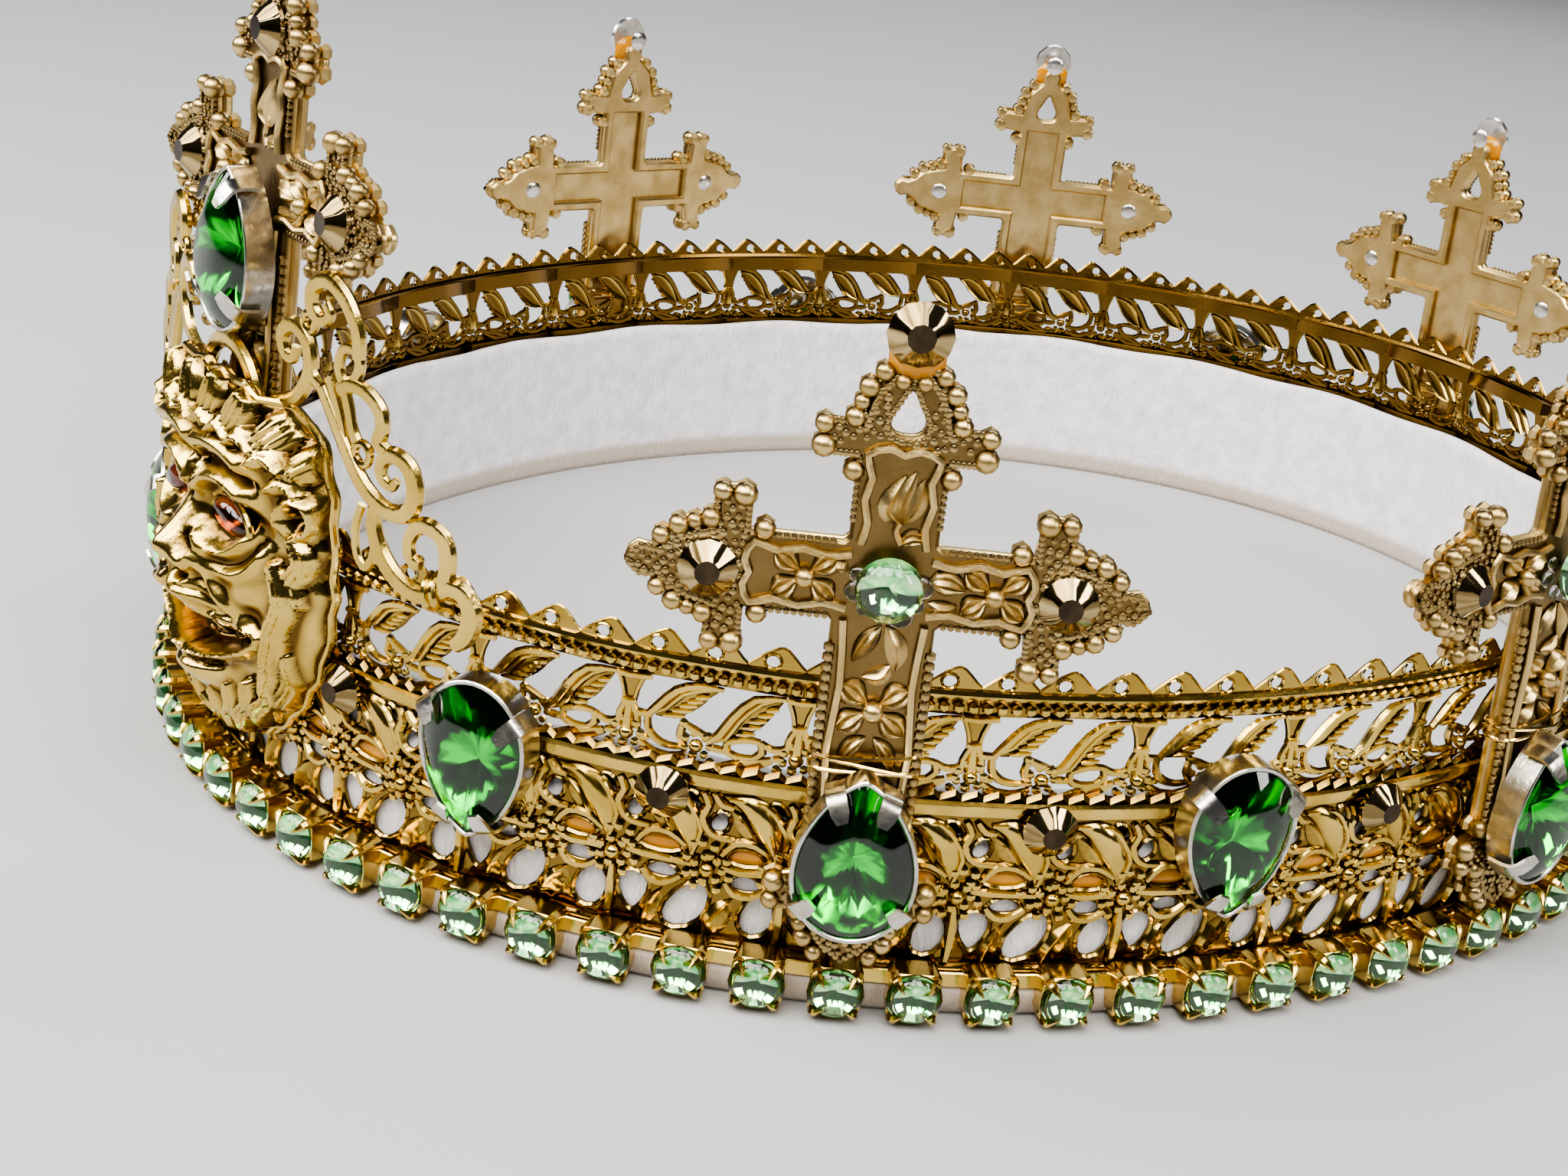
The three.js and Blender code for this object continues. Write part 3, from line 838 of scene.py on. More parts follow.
@dataclass
class Oval:
    """The line through the foot chain's stones, walked from the front towards +X."""

    centre: Point
    half_width: float = 81.07
    half_length: float = 94.93
    steps: int = 4000
    girth: float = field(init=False)

    def __post_init__(self) -> None:
        """Measures the oval."""
        self.angles = np.linspace(0.0, 2 * math.pi, self.steps + 1)
        x = self.half_width * np.sin(self.angles)
        y = -self.half_length * np.cos(self.angles)
        self.alongs = np.concatenate([[0.0], np.cumsum(np.hypot(np.diff(x), np.diff(y)))])
        self.girth = float(self.alongs[-1])

    def lay(self, flat: Array) -> Array:
        """Bends flat points round the oval.

        Args:
            flat: rows of along, up and outward in millimetres.

        Returns:
            Rows of places in metres.
        """
        angle = np.interp(np.mod(flat[:, 0], self.girth), self.alongs, self.angles)
        x, y = np.sin(angle), -np.cos(angle)
        out = np.stack([x / self.half_width, y / self.half_length])
        out /= np.hypot(*out)
        east = self.half_width * x + out[0] * flat[:, 2] + self.centre[0]
        north = self.half_length * y + out[1] * flat[:, 2] + self.centre[1]
        return np.column_stack([east, north, flat[:, 1]]) * MM

    def seat(self, turn: float, up: float, out: float, lean: float = 0.0) -> Matrix:
        """Gives a place on the oval with X along it, Y up and Z outward.

        Args:
            turn: share of the way round.
            up: height in millimetres.
            out: distance outward in millimetres.
            lean: degrees that its top leans in.

        Returns:
            The matrix from the flat in millimetres to metres.
        """
        at, beyond = self.lay(np.array([[turn * self.girth, up, out], [turn * self.girth, up, out + 1.0]]))
        outward = Vector(beyond - at).normalized()
        upward = Vector((0, 0, 1))
        basis = Matrix((upward.cross(outward), upward, outward)).transposed().to_4x4()
        lean_in = Matrix.Rotation(-math.radians(lean), 4, "X")
        return Matrix.Translation(Vector(at)) @ basis @ lean_in @ Matrix.Scale(MM, 4)

    def rounds(self, shape: Casting, pitch: float, count: int) -> list[Array]:
        """Bends copies of a flat repeat round the whole oval."""
        return [self.lay(shape.points + np.array([k * pitch, 0.0, 0.0])) for k in range(count)]


def show(
    mesh: bpy.types.Mesh, coats: Sequence[Material], nodes: Sequence[str] = ()
) -> bpy.types.Object:
    """Puts a finished mesh into the scene as a piece of the crown.

    Args:
        mesh: the mesh, in place, with the piece's name.
        coats: its materials in the order of its faces' numbers.
        nodes: the nodes that it stands for.

    Returns:
        The piece.
    """
    piece = linked(mesh.name, mesh)
    for coat in coats:
        mesh.materials.append(coat)
    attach(piece, BODY)
    if nodes:
        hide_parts(*nodes)
    triangles = sum(len(polygon.vertices) - 2 for polygon in mesh.polygons)
    LOG.info("%s: %d triangles", piece.name, triangles)
    return piece


# The band


@dataclass
class FeltLining:
    """The felt strip inside the foot, stretched round and glued to the lace."""

    oval: Oval
    inner: float = -7.2
    outer: float = -5.2
    top: float = 20.5
    cuts: tuple[int, int] = (420, 56)
    seam_turn: float = 0.42
    seam_reach: float = 0.5
    seam_rise: float = 0.45
    lump: float = 0.06
    lumps: tuple[int, int, int] = (31, 47, 83)
    edge_waves: int = 23
    edge_rise: float = 0.2
    bulge: float = 1.55
    bulge_top: float = 16.3
    lip: float = 3.4
    lip_top: float = 3.3

    def section(self) -> Array:
        """Gives the strip's section, once round and back to its start.

        Returns:
            Rows of places out and up.
        """
        low, high, top = self.inner, self.outer, self.top
        snug, lip = high + self.bulge, high + self.lip
        corners = [
            (low, 0.7), (low, 10.0), (low, top - 0.6), (low + 0.5, top), (high - 0.5, top), (high, top - 0.6),
            (high, self.bulge_top + 1.0), (snug, self.bulge_top - 0.8), (snug, 10.0),
            (snug, self.lip_top + 0.5), (lip - 0.5, self.lip_top - 0.2), (lip, 1.6), (lip - 0.4, 0.2),
            (snug, 0.0), (low + 0.7, 0.0),
        ]
        path = eased(corners, 6, True)
        return np.maximum(np.vstack([path, path[:1]]), (low, 0.0))

    def build(self) -> bpy.types.Mesh:
        """Makes the strip as a closed ring with rounded edges and a lip under the chain.

        Returns:
            The mesh.
        """
        part = bmesh.new()
        made = bmesh.ops.create_grid(part, x_segments=self.cuts[0], y_segments=self.cuts[1], size=0.5)
        spots = np.mod(np.array([vert.co[:2] for vert in made["verts"]]) + 0.5, 1.0)
        path = self.section()
        along = np.concatenate([[0.0], np.cumsum(np.hypot(*np.diff(path, axis=0).T))])
        out = np.interp(spots[:, 1] * along[-1], along, path[:, 0])
        up = np.interp(spots[:, 1] * along[-1], along, path[:, 1])
        facing = np.where(out > (self.inner + self.outer) / 2, 1.0, -1.0)
        turn = 2 * math.pi * spots[:, 0]
        wide, near, small = self.lumps
        wave = np.sin(wide * turn) * np.cos(near * turn + 0.3 * up) + 0.5 * np.sin(small * turn + 0.9 * up)
        high = np.clip(up / self.top, 0.0, 1.0)
        out += self.lump * wave * facing * high
        up += self.edge_rise * np.sin(self.edge_waves * turn + 1.0) * high**6
        seam = np.exp(-(((spots[:, 0] - self.seam_turn) * self.oval.girth / self.seam_reach) ** 2))
        out += self.seam_rise * seam * (facing < 0)
        places = self.oval.lay(np.column_stack([spots[:, 0] * self.oval.girth, up, out]))
        for vert, place in zip(made["verts"], places):
            vert.co = place
        bmesh.ops.remove_doubles(part, verts=part.verts[:], dist=WELD * MM)
        bmesh.ops.recalc_face_normals(part, faces=part.faces[:])
        for face in part.faces:
            face.smooth = True
        return mesh_from(part, "felt_strip")

    def dress(self) -> None:
        """Shows the strip in felt."""
        piece = show(self.build(), [Felt().material()], ["felt_lining"])


@dataclass(frozen=True)
class Gap:
    """An opening in a pierced strip: its middle, width, height, slant and how far its top narrows."""

    x: float
    y: float
    wide: float
    tall: float
    slant: float = 0.0
    narrow: float = 0.22

    def outline(self, grow: float = 0.0) -> list[Point]:
        """Gives the opening's egg-shaped outline.

        Args:
            grow: how far it is widened all round.

        Returns:
            Its points.
        """
        points = []
        count = 12 if self.wide * self.tall > LARGE_GAP else 10
        for i in range(count):
            angle = 2 * math.pi * i / count
            up = math.sin(angle)
            across = (0.5 * self.wide + grow) * math.cos(angle) * (1 - self.narrow * up)
            points.append((self.x + across + self.slant * up, self.y + (0.5 * self.tall + grow) * up))
        return points


@dataclass
class LaceWork:
    """What the two pierced strips share: a repeat drawn in the flat, stretched and laid round the oval."""

    oval: Oval
    gilt: Material
    pitch: float = 13.845
    face: float = 0.0
    # Painted shade darkens the lace below its face by this depth and fades out over the rise that follows.
    shade_depth: float = 0.35
    unshaded_rise: float = 0.7

    @staticmethod
    def flower(work: Workpiece, x: float, y: float, z: float, size: float = 1.0) -> None:
        """Adds a flower of balls.

        Args:
            work: what is being worked.
            x: its place along.
            y: its height.
            z: its face's height.
            size: its scale.
        """
        work.bead((x, y, z + 0.25), 0.62 * size, fine=True)
        for i, (px, py) in enumerate(ring_of((x, y), 1.08 * size, 7)):
            work.bead((px, py, z), (0.47 if i % 2 else 0.4) * size)

    def show_lace(self, work: Workpiece, name: str, node: str) -> None:
        """Lays the repeat round the crown and shows it, with painted shade in its low places."""
        shape = work.casting(self.face - self.shade_depth, self.unshaded_rise)
        pitch = self.oval.girth / LACE_REPEATS
        shape.points[:, 0] *= pitch / self.pitch
        mesh = shape.laid(name, self.oval.rounds(shape, pitch, LACE_REPEATS))
        show(mesh, [self.gilt], [node])


@dataclass(frozen=True)
class Leaf:
    """A slanted leaf of the upper strip: its ridge, its body and the ends and heights of its ribs."""

    ridge: Points
    body: Points
    ribs: Points


LEAVES = (
    Leaf(
        ((1.7, 24.9), (2.6, 26.0), (3.9, 27.6), (5.6, 28.3), (7.6, 28.3)),
        ((2.2, 24.7), (3.6, 25.5), (4.9, 26.7), (6.0, 27.7), (7.4, 28.2)),
        ((2.9, 4.7, 25.1), (3.6, 5.2, 25.7), (4.2, 5.6, 26.25), (4.8, 6.0, 26.75), (5.4, 6.5, 27.25)),
    ),
    Leaf(
        ((6.6, 23.2), (7.6, 24.1), (8.6, 26.0), (10.2, 27.9), (12.6, 28.3)),
        ((8.2, 23.8), (9.3, 24.9), (10.2, 26.0), (11.2, 27.2), (12.4, 28.1)),
        ((8.9, 10.4, 24.5), (9.3, 10.8, 25.2), (9.8, 11.2, 25.85), (10.5, 11.7, 26.5), (11.1, 12.1, 27.1)),
    ),
)


@dataclass
class UpperLace(LaceWork):
    """Slanted leaves under a bead row, a half-round bar and a scalloped edge."""

    back: float = -4.9
    face: float = -4.3
    foot: float = 17.0
    bead_up: float = 29.35
    bar_up: float = 30.5
    scallops: int = 3
    beads: int = 12
    hole: Point = (1.95, 31.65, 0.66)

    def edging(self, work: Workpiece) -> None:
        """Adds the scallops with their round holes, the bar and the bead row.

        Args:
            work: what is being worked.
        """
        step = self.pitch / self.scallops
        rise = [(0.0, 31.1), (0.7, 31.7), (1.6, 32.45), (2.4, 32.9), (2.7, 32.95)]
        fall = [(3.1, 32.75), (3.7, 32.1), (4.2, 31.5), (step, 31.1)]
        across, up, radius = self.hole
        for i in range(self.scallops):
            left = i * step
            edge = [(left + x, y) for x, y in (*rise, *fall)]
            outline = [(left, 30.4), *edge, (left + step, 30.4)]
            hole = ring_of((left + across, up), radius, 12)
            work.plate([outline[::-1], hole], self.back + 0.2, self.face, 0.09)
            work.wire(hole, 0.13, self.face + 0.1, closed=True, sides=Sides.SQUARE, steps=1)
            work.wire(edge, 0.12, self.face - 0.05, sides=Sides.SQUARE, steps=1)
        ends = [(x, self.bar_up) for x in (0.0, self.pitch / 2, self.pitch)]
        work.wire(ends, 0.52, self.face - 0.05, 0.95, sides=Sides.FINE, capped=False)
        bed = [(0, 28.35), (self.pitch, 28.35), (self.pitch, 30.3), (0, 30.3)]
        work.plate([bed], self.back + 0.2, self.face - 0.15, 0.05)
        for i in range(self.beads):
            work.bead(((i + 0.5) * self.pitch / self.beads, self.bead_up, self.face + 0.25), 0.52)

    def post(self, work: Workpiece) -> None:
        """Adds the flared post that parts two repeats.

        Args:
            work: what is being worked.
        """
        face = self.face
        flare = [(-0.45, 25.7), (0.45, 25.7), (0.6, 26.9), (1.0, 28.5), (-1.0, 28.5), (-0.6, 26.9)]
        work.plate([flare], self.back + 0.2, face - 0.1)
        for side in (-1, 1):
            work.wire([(side * 0.42, 25.8), (side * 0.6, 26.9), (side * 1.1, 28.3)], 0.22, face)
            work.wire([(side * 0.3, 25.5), (side * 0.75, 24.4), (side * 0.8, 23.2)], 0.32, face)
        work.wire([(-1.2, 28.3), (0.0, 28.15), (1.7, 28.35)], 0.34, face + 0.1)
        work.wire([(-0.6, 25.8), (0.0, 25.65), (0.6, 25.8)], 0.34, face + 0.15)
        work.wire([(0.0, 25.6), (0.0, 23.2)], 0.5, face - 0.1, taper=(0.8, 1.25))

    def leaf(self, work: Workpiece, leaf: Leaf) -> None:
        """Adds a leaf: a thin body, a thick double ridge and short ribs.

        Args:
            work: what is being worked.
            leaf: the leaf.
        """
        face = self.face
        work.blade(leaf.body, 2.0, 0.3, Grain.SMOOTH, face - 0.35, (12, 4))
        work.wire(leaf.ridge, 0.42, face + 0.1, taper=(0.8, 1.1, 1.1, 1.0, 0.6))
        groove = [(x + 0.5, y - 0.34) for x, y in leaf.ridge[1:-1]]
        work.wire([leaf.ridge[0], *groove, leaf.ridge[-1]], 0.24, face + 0.05, taper=(0.6, 1.0, 1.0, 0.5))
        for left, right, up in leaf.ribs:
            rib = [(left, up - 0.1), ((left + right) / 2, up + 0.02), (right, up + 0.14)]
            work.wire(rib, 0.28, face + 0.12, taper=(0.6, 1.1, 0.5), steps=1)

    def build(self) -> Workpiece:
        """Works one repeat.

        Returns:
            The repeat in the flat.
        """
        work = Workpiece()
        face, pitch = self.face, self.pitch
        self.edging(work)
        self.post(work)
        for leaf in LEAVES:
            self.leaf(work, leaf)
        stems = (
            [(0.3, 25.0), (1.0, 24.75), (2.0, 24.8)],
            [(1.6, 24.6), (1.7, 23.5), (2.4, 22.6), (3.5, 22.2), (4.7, 22.3)],
            [(4.6, 24.7), (4.4, 23.4), (4.8, 22.5)],
            [(4.3, 24.7), (5.5, 24.1), (6.7, 23.6)],
            [(8.2, 23.4), (9.6, 23.95), (10.9, 23.9)],
            [(10.9, 23.9), (11.1, 23.0), (10.4, 22.3)],
            [(8.2, 23.4), (8.3, 22.6), (9.2, 22.2), (10.4, 22.3)],
            [(10.9, 23.9), (11.8, 23.4), (12.7, 23.5), (13.5, 24.2)],
            [(7.7, 21.0), (9.6, 21.8), (11.9, 22.4)],
            [(7.8, 21.1), (9.9, 21.2), (11.9, 22.3)],
            [(1.0, 22.2), (2.2, 21.4), (3.6, 21.2), (5.0, 21.7)],
            [(6.8, 22.7), (8.1, 22.6)],
            [(12.0, 22.5), (12.9, 22.6)],
            [(0.9, 22.6), (1.9, 22.5)],
        )
        for stem in stems:
            work.wire(stem, 0.36, face - 0.05, taper=(0.9, 1.15, 0.9))
        self.flower(work, 0.0, 22.8, face, 1.05)
        self.flower(work, 5.8, 22.75, face)
        grains = ((1.5, 21.5), (-1.5, 21.6), (4.6, 21.4), (7.0, 21.3), (6.7, 23.7), (4.6, 24.6), (12.5, 21.4))
        for x, y in grains:
            work.bead((x, y, face), 0.42)
        bed = [(0, self.foot), (pitch, self.foot), (pitch, 20.9), (0, 20.9)]
        work.plate([bed], self.back + 0.2, face - 0.2, 0.05)
        return work

    def dress(self) -> None:
        """Shows the strip in polished gilt."""
        self.show_lace(self.build(), "upper_lace_work", "upper_lace")


@dataclass
class LowerLace(LaceWork):
    """A plain bar over curling leaves, flowers and a foot row of veined leaves."""

    back: float = -3.6
    face: float = -2.95
    foot: float = 3.4
    bar: Point = (19.4, 20.9)
    flowers: Points = ((0.1, 11.7), (7.9, 11.7))
    gaps: Sequence[Gap] = (
        Gap(6.1, 18.0, 1.4, 1.7, -0.2),
        Gap(13.0, 18.0, 1.4, 1.7, -0.2),
        Gap(1.6, 16.3, 1.4, 2.0, 0.2),
        Gap(8.5, 16.3, 1.4, 2.0, 0.2),
        Gap(3.9, 13.4, 3.3, 1.5),
        Gap(10.9, 13.2, 2.7, 1.5),
        Gap(4.2, 10.7, 2.6, 1.4),
        Gap(11.0, 10.6, 2.7, 1.5),
        Gap(1.9, 8.1, 2.4, 3.8, 0.0, -0.4),
        Gap(6.4, 7.6, 3.3, 4.7, 0.9, 0.1),
        Gap(12.2, 7.6, 2.7, 4.1, 0.3, 0.1),
    )
    foot_border: float = 4.3

    def build(self) -> Workpiece:
        """Works one repeat.

        Returns:
            The repeat in the flat.
        """
        work = Workpiece()
        face, pitch = self.face, self.pitch
        low, high = self.bar
        middle, half_bar = (low + high) / 2, (high - low) / 2
        rail = [(0, middle), (pitch / 2, middle), (pitch, middle)]
        work.wire(rail, half_bar, face - 0.1, 0.62, sides=Sides.FINE, capped=False)
        border = [(x, self.foot_border) for x, _ in rail]
        work.wire(border, 0.42, face - 0.15, sides=Sides.FINE, capped=False)
        waves = np.linspace(0, pitch, 25)
        frill = [(x, high + 0.3 + 0.3 * math.sin(16 * math.pi * x / pitch)) for x in waves]
        work.wire(frill, 0.4, face - 0.5, sides=Sides.SQUARE, capped=False, steps=1)
        sheet = [(0, self.foot), (pitch, self.foot), (pitch, low + 0.2), (0, low + 0.2)]
        loops = [sheet, *(gap.outline()[::-1] for gap in self.gaps)]
        work.plate(loops, self.back + 0.1, face - 0.25, 0.0)
        for gap in self.gaps:
            work.wire(gap.outline(0.14), 0.21, face - 0.2, closed=True, sides=Sides.SQUARE, steps=1)
        for shift in (0.0, pitch / 2):
            self.curls(work, shift)
        self.foot_row(work)
        return work

    def curls(self, work: Workpiece, shift: float) -> None:
        """Adds half a repeat's large leaf and the stems round it.

        Args:
            work: what is being worked.
            shift: how far along the half repeat starts.
        """
        face = self.face

        def moved(points: Points) -> list[Point]:
            """Shifts points to this half."""
            return [(x + shift, y) for x, y in points]

        leaf = moved([(2.2, 18.7), (4.0, 18.2), (5.3, 16.8), (6.1, 15.0), (6.5, 12.9)])
        work.blade(leaf, 2.9, 0.95, Grain.SMOOTH, face - 0.3, (10, 4))
        rim = [(x + 1.0, y + 0.35) for x, y in leaf[1:-1]]
        work.wire([leaf[0], *rim, leaf[-1]], 0.3, face, taper=(0.7, 1.1, 0.8))
        veined = moved([(2.5, 17.6), (3.4, 16.5), (4.3, 15.1), (4.9, 14.3)])
        work.blade(veined, 1.5, 0.5, Grain.VEINED, face - 0.2, (12, 4))
        stems = (
            [(0.1, 19.0), (0.6, 17.9), (0.2, 16.8), (0.7, 15.5), (1.6, 14.9), (2.9, 14.8)],
            [(1.0, 19.0), (1.7, 18.1), (2.6, 17.9)],
            [(2.0, 13.2), (3.0, 14.6), (4.6, 14.6), (6.0, 13.6)],
        )
        for stem in stems:
            work.wire(moved(stem), 0.4, face - 0.1, taper=(0.8, 1.15, 1.0, 0.7))
        for x, y in ((0.4, 14.2), (1.4, 13.9), (1.1, 13.0), (6.6, 14.0), (5.2, 12.2)):
            work.bead((x + shift, y, face), 0.46)

    def foot_row(self, work: Workpiece) -> None:
        """Adds the flowers, their stems and the veined leaves between the large openings.

        Args:
            work: what is being worked.
        """
        face = self.face
        for x, y in self.flowers:
            self.flower(work, x, y, face, 1.1)
            for px, py in ((-1.7, 11.0), (1.8, 11.1), (-1.0, 9.9), (0.9, 9.8), (-1.7, 12.6), (1.5, 12.7)):
                work.bead((x + px, py, face), 0.44)
        stems = (
            [(1.2, 12.2), (2.6, 12.1), (4.2, 12.0), (6.6, 11.9)],
            [(9.0, 12.1), (10.4, 11.8), (12.0, 11.9), (13.0, 11.8)],
            [(2.6, 10.6), (3.4, 9.7), (4.6, 9.6), (5.8, 10.5)],
            [(9.4, 10.6), (10.2, 9.6), (11.6, 9.5), (12.6, 10.3)],
            [(0.1, 10.4), (0.1, 8.4), (0.0, 5.0)],
            [(13.95, 9.8), (14.05, 7.6), (13.9, 5.4)],
        )
        for stem in stems:
            work.wire(stem, 0.42, face - 0.1, taper=(0.8, 1.15, 1.0, 0.8))
        work.blade([(3.0, 4.6), (3.6, 6.6), (4.4, 8.9)], 1.7, 0.6, Grain.VEINED, face - 0.3, (12, 4))
        work.blade([(8.0, 4.6), (9.0, 6.8), (10.2, 9.0)], 2.3, 0.7, Grain.VEINED, face - 0.3, (12, 4))

    def dress(self) -> None:
        """Shows the strip in polished gilt."""
        self.show_lace(self.build(), "lower_lace_work", "lower_lace")
        glue = Workpiece()
        ends = [(0.0, 13.3), (self.pitch / 2, 13.2), (self.pitch, 13.3)]
        glue.wire(ends, 0.85, self.back + 0.1, 0.28, sides=Sides.FINE, capped=False)
        line = glue.casting()
        pitch = self.pitch
        mesh = line.laid("glue_line", self.oval.rounds(line, pitch, round(self.oval.girth / pitch)))
        show(mesh, [AMBER_GLUE.material()])


# Stones


def circle(radius: float) -> Outline:
    """Outline of a round stone."""
    return lambda angle: (radius * math.cos(angle), radius * math.sin(angle))


def navette(length: float, height: float) -> Outline:
    """Outline of a pointed oval stone."""

    def place(angle: float) -> Point:
        """Gives the outline's point at an angle."""
        x = math.cos(angle)
        return length / 2 * x, height / 2 * math.sin(angle) * (1 - 0.35 * x * x)

    return place


def pear_outline(width: float, length: float, fullness: float) -> Outline:
    """Outline of a pear stone, point up."""
    widest = math.atan(math.sqrt(1 + fullness))
    peak = 2 * math.cos(widest) * math.sin(widest) ** (1 + fullness)

    def place(angle: float) -> Point:
        """Gives the outline's point at an angle."""
        blunt = ((1 - math.cos(angle)) / 2) ** (fullness / 2)
        return width / 2 / peak * math.sin(angle) * blunt, length / 2 * math.cos(angle)

    return place


BOWL = ((0.84, 0.34), (0.62, 0.62), (0.34, 0.86))
CONE = ((0.80, 0.215), (0.50, 0.52), (0.25, 0.765))


def brilliant(
    mains: int, table: float, rise: float, girdle: float, depth: float, pavilion: Points = BOWL
) -> list[FacetRow]:
    """Rows of a brilliant cut.

    Args:
        mains: number of main facets.
        table: the table's share of the girdle.
        rise: the table's height over the girdle's top.
        girdle: the girdle's height.
        depth: how far the pavilion goes down.
        pavilion: shares of the girdle and of the depth of the rows below the girdle.

    Returns:
        The rows from table to culet.
    """
    middle = 0.5 + 0.5 * table
    return [
        FacetRow(table, girdle + rise, mains),
        FacetRow(middle + 0.03, girdle + 0.6 * rise, mains, 0.5),
        FacetRow(1.0, girdle, 2 * mains),
        FacetRow(1.0, 0.0, 2 * mains),
        *(
            FacetRow(share, -low * depth, mains, 0.5 * ((i + 1) % 2))
            for i, (share, low) in enumerate(pavilion)
        ),
        FacetRow(0.02, -depth, 3),
    ]


def flat_back(sides: int, table: float, rise: float) -> list[FacetRow]:
    """Rows of a flat-backed stone with one ring of facets."""
    return [FacetRow(table, rise, sides), FacetRow(1.0, 0.45, sides), FacetRow(0.96, 0.0, sides)]


BRONZE_CUT = flat_back(12, 0.42, 1.75)


@dataclass
class PearStones:
    """The sixteen pear stones in deep silver settings with four claws."""

    oval: Oval
    width: float = 10.3
    length: float = 14.6
    fullness: float = 0.45
    depth: float = 2.7
    rise: float = 1.75
    mains: int = 16
    table: float = 0.46
    girdle: float = 0.25
    pavilion: float = 2.5
    fit: float = 0.97
    wall: float = 0.05
    rim_points: int = 44
    hole: float = 0.5
    between_up: float = 18.5
    between_out: float = -2.2
    claw_angles: Sequence[float] = (38.0, 128.0, 232.0, 322.0)

    def stone(self) -> Casting:
        """Cuts one stone."""
        work = Workpiece()
        rows = brilliant(self.mains, self.table, self.rise, self.girdle, self.pavilion, CONE)
        outline = pear_outline(self.width * self.fit, self.length * self.fit, self.fullness)
        work.gem(rows, outline, Matrix.Translation((0, 0, self.depth - self.girdle)), 1)
        return work.casting()

    def setting(self) -> Casting:
        """Bends one setting: a deep wall, a back and four claws.

        Returns:
            The setting in the flat.
        """
        work = Workpiece()
        outline = pear_outline(self.width, self.length, self.fullness)
        rim = [outline(2 * math.pi * i / self.rim_points) for i in range(self.rim_points)]
        outer = [(x * (1 + self.wall), y * (1 + self.wall * 0.7)) for x, y in rim]
        inner = [(x * 0.965, y * 0.975) for x, y in rim]
        work.plate([outer[::-1], inner], 0.0, self.depth + 0.15)
        hole = [(x * self.hole, y * self.hole) for x, y in rim]
        work.plate([[(x * self.fit, y * self.fit) for x, y in rim][::-1], hole], 0.0, 0.4)
        for degrees in self.claw_angles:
            x, y = outline(math.radians(degrees))
            c, s = x / math.hypot(x, y), y / math.hypot(x, y)
            top = self.depth + self.rise
            path = [
                (x + 0.45 * c, y + 0.45 * s, 0.8),
                (x + 0.45 * c, y + 0.45 * s, self.depth - 0.2),
                (x + 0.1 * c, y + 0.1 * s, self.depth + 0.65),
                (x - 0.9 * c, y - 0.9 * s, top - 0.55),
                (x - 1.7 * c, y - 1.7 * s, top - 0.2),
            ]
            work.strap(path, (-s, c, 0.0), 1.7, 0.32, (1.0, 1.0, 1.0, 0.95, 0.55))
        return work.casting()

    def dress(self, crosses: "CrossRow") -> None:
        """Shows each stone and its setting.

        Args:
            crosses: the crosses, which carry half of the stones.
        """
        stone, setting = self.stone(), self.setting()
        coats = [GREEN_GLASS.material(), GREEN_FOIL.material()]
        silver = SILVER.material()
        seats = {f"pear_cross_{k + 1}": crosses.pear_seat(k) for k in range(CROSS_COUNT)}
        for k in range(CROSS_COUNT):
            between = self.oval.seat((k + 0.5) / CROSS_COUNT, self.between_up, self.between_out)
            seats[f"pear_between_{k + 1}"] = between @ Matrix.Rotation(math.pi, 4, "Z")
        for node, seat in seats.items():
            show(stone.seated(f"{node}_stone", [seat]), coats, [node])
            show(setting.seated(f"{node}_setting", [seat]), [silver], [node])


@dataclass
class BarStones:
    """Sixteen flat-backed bronze stones on the bar of the lower lace."""

    oval: Oval
    bronze: Material
    up: float = 19.0
    out: float = -2.1
    radius: float = 2.5

    def dress(self) -> None:
        """Shows each stone."""
        work = Workpiece()
        work.gem(BRONZE_CUT, circle(self.radius), Matrix.Identity(4), table=1)
        shape = work.casting()
        # The flat tops take the painted dark reflection.
        coats = [self.bronze, PAINTED_TABLE_REFLECTION.material()]
        for k in range(2 * CROSS_COUNT):
            seat = self.oval.seat((k + 0.5) / (2 * CROSS_COUNT), self.up, self.out)
            node = f"bronze_stone_{k + 1}"
            show(shape.seated(f"{node}_cut", [seat]), coats, [node])


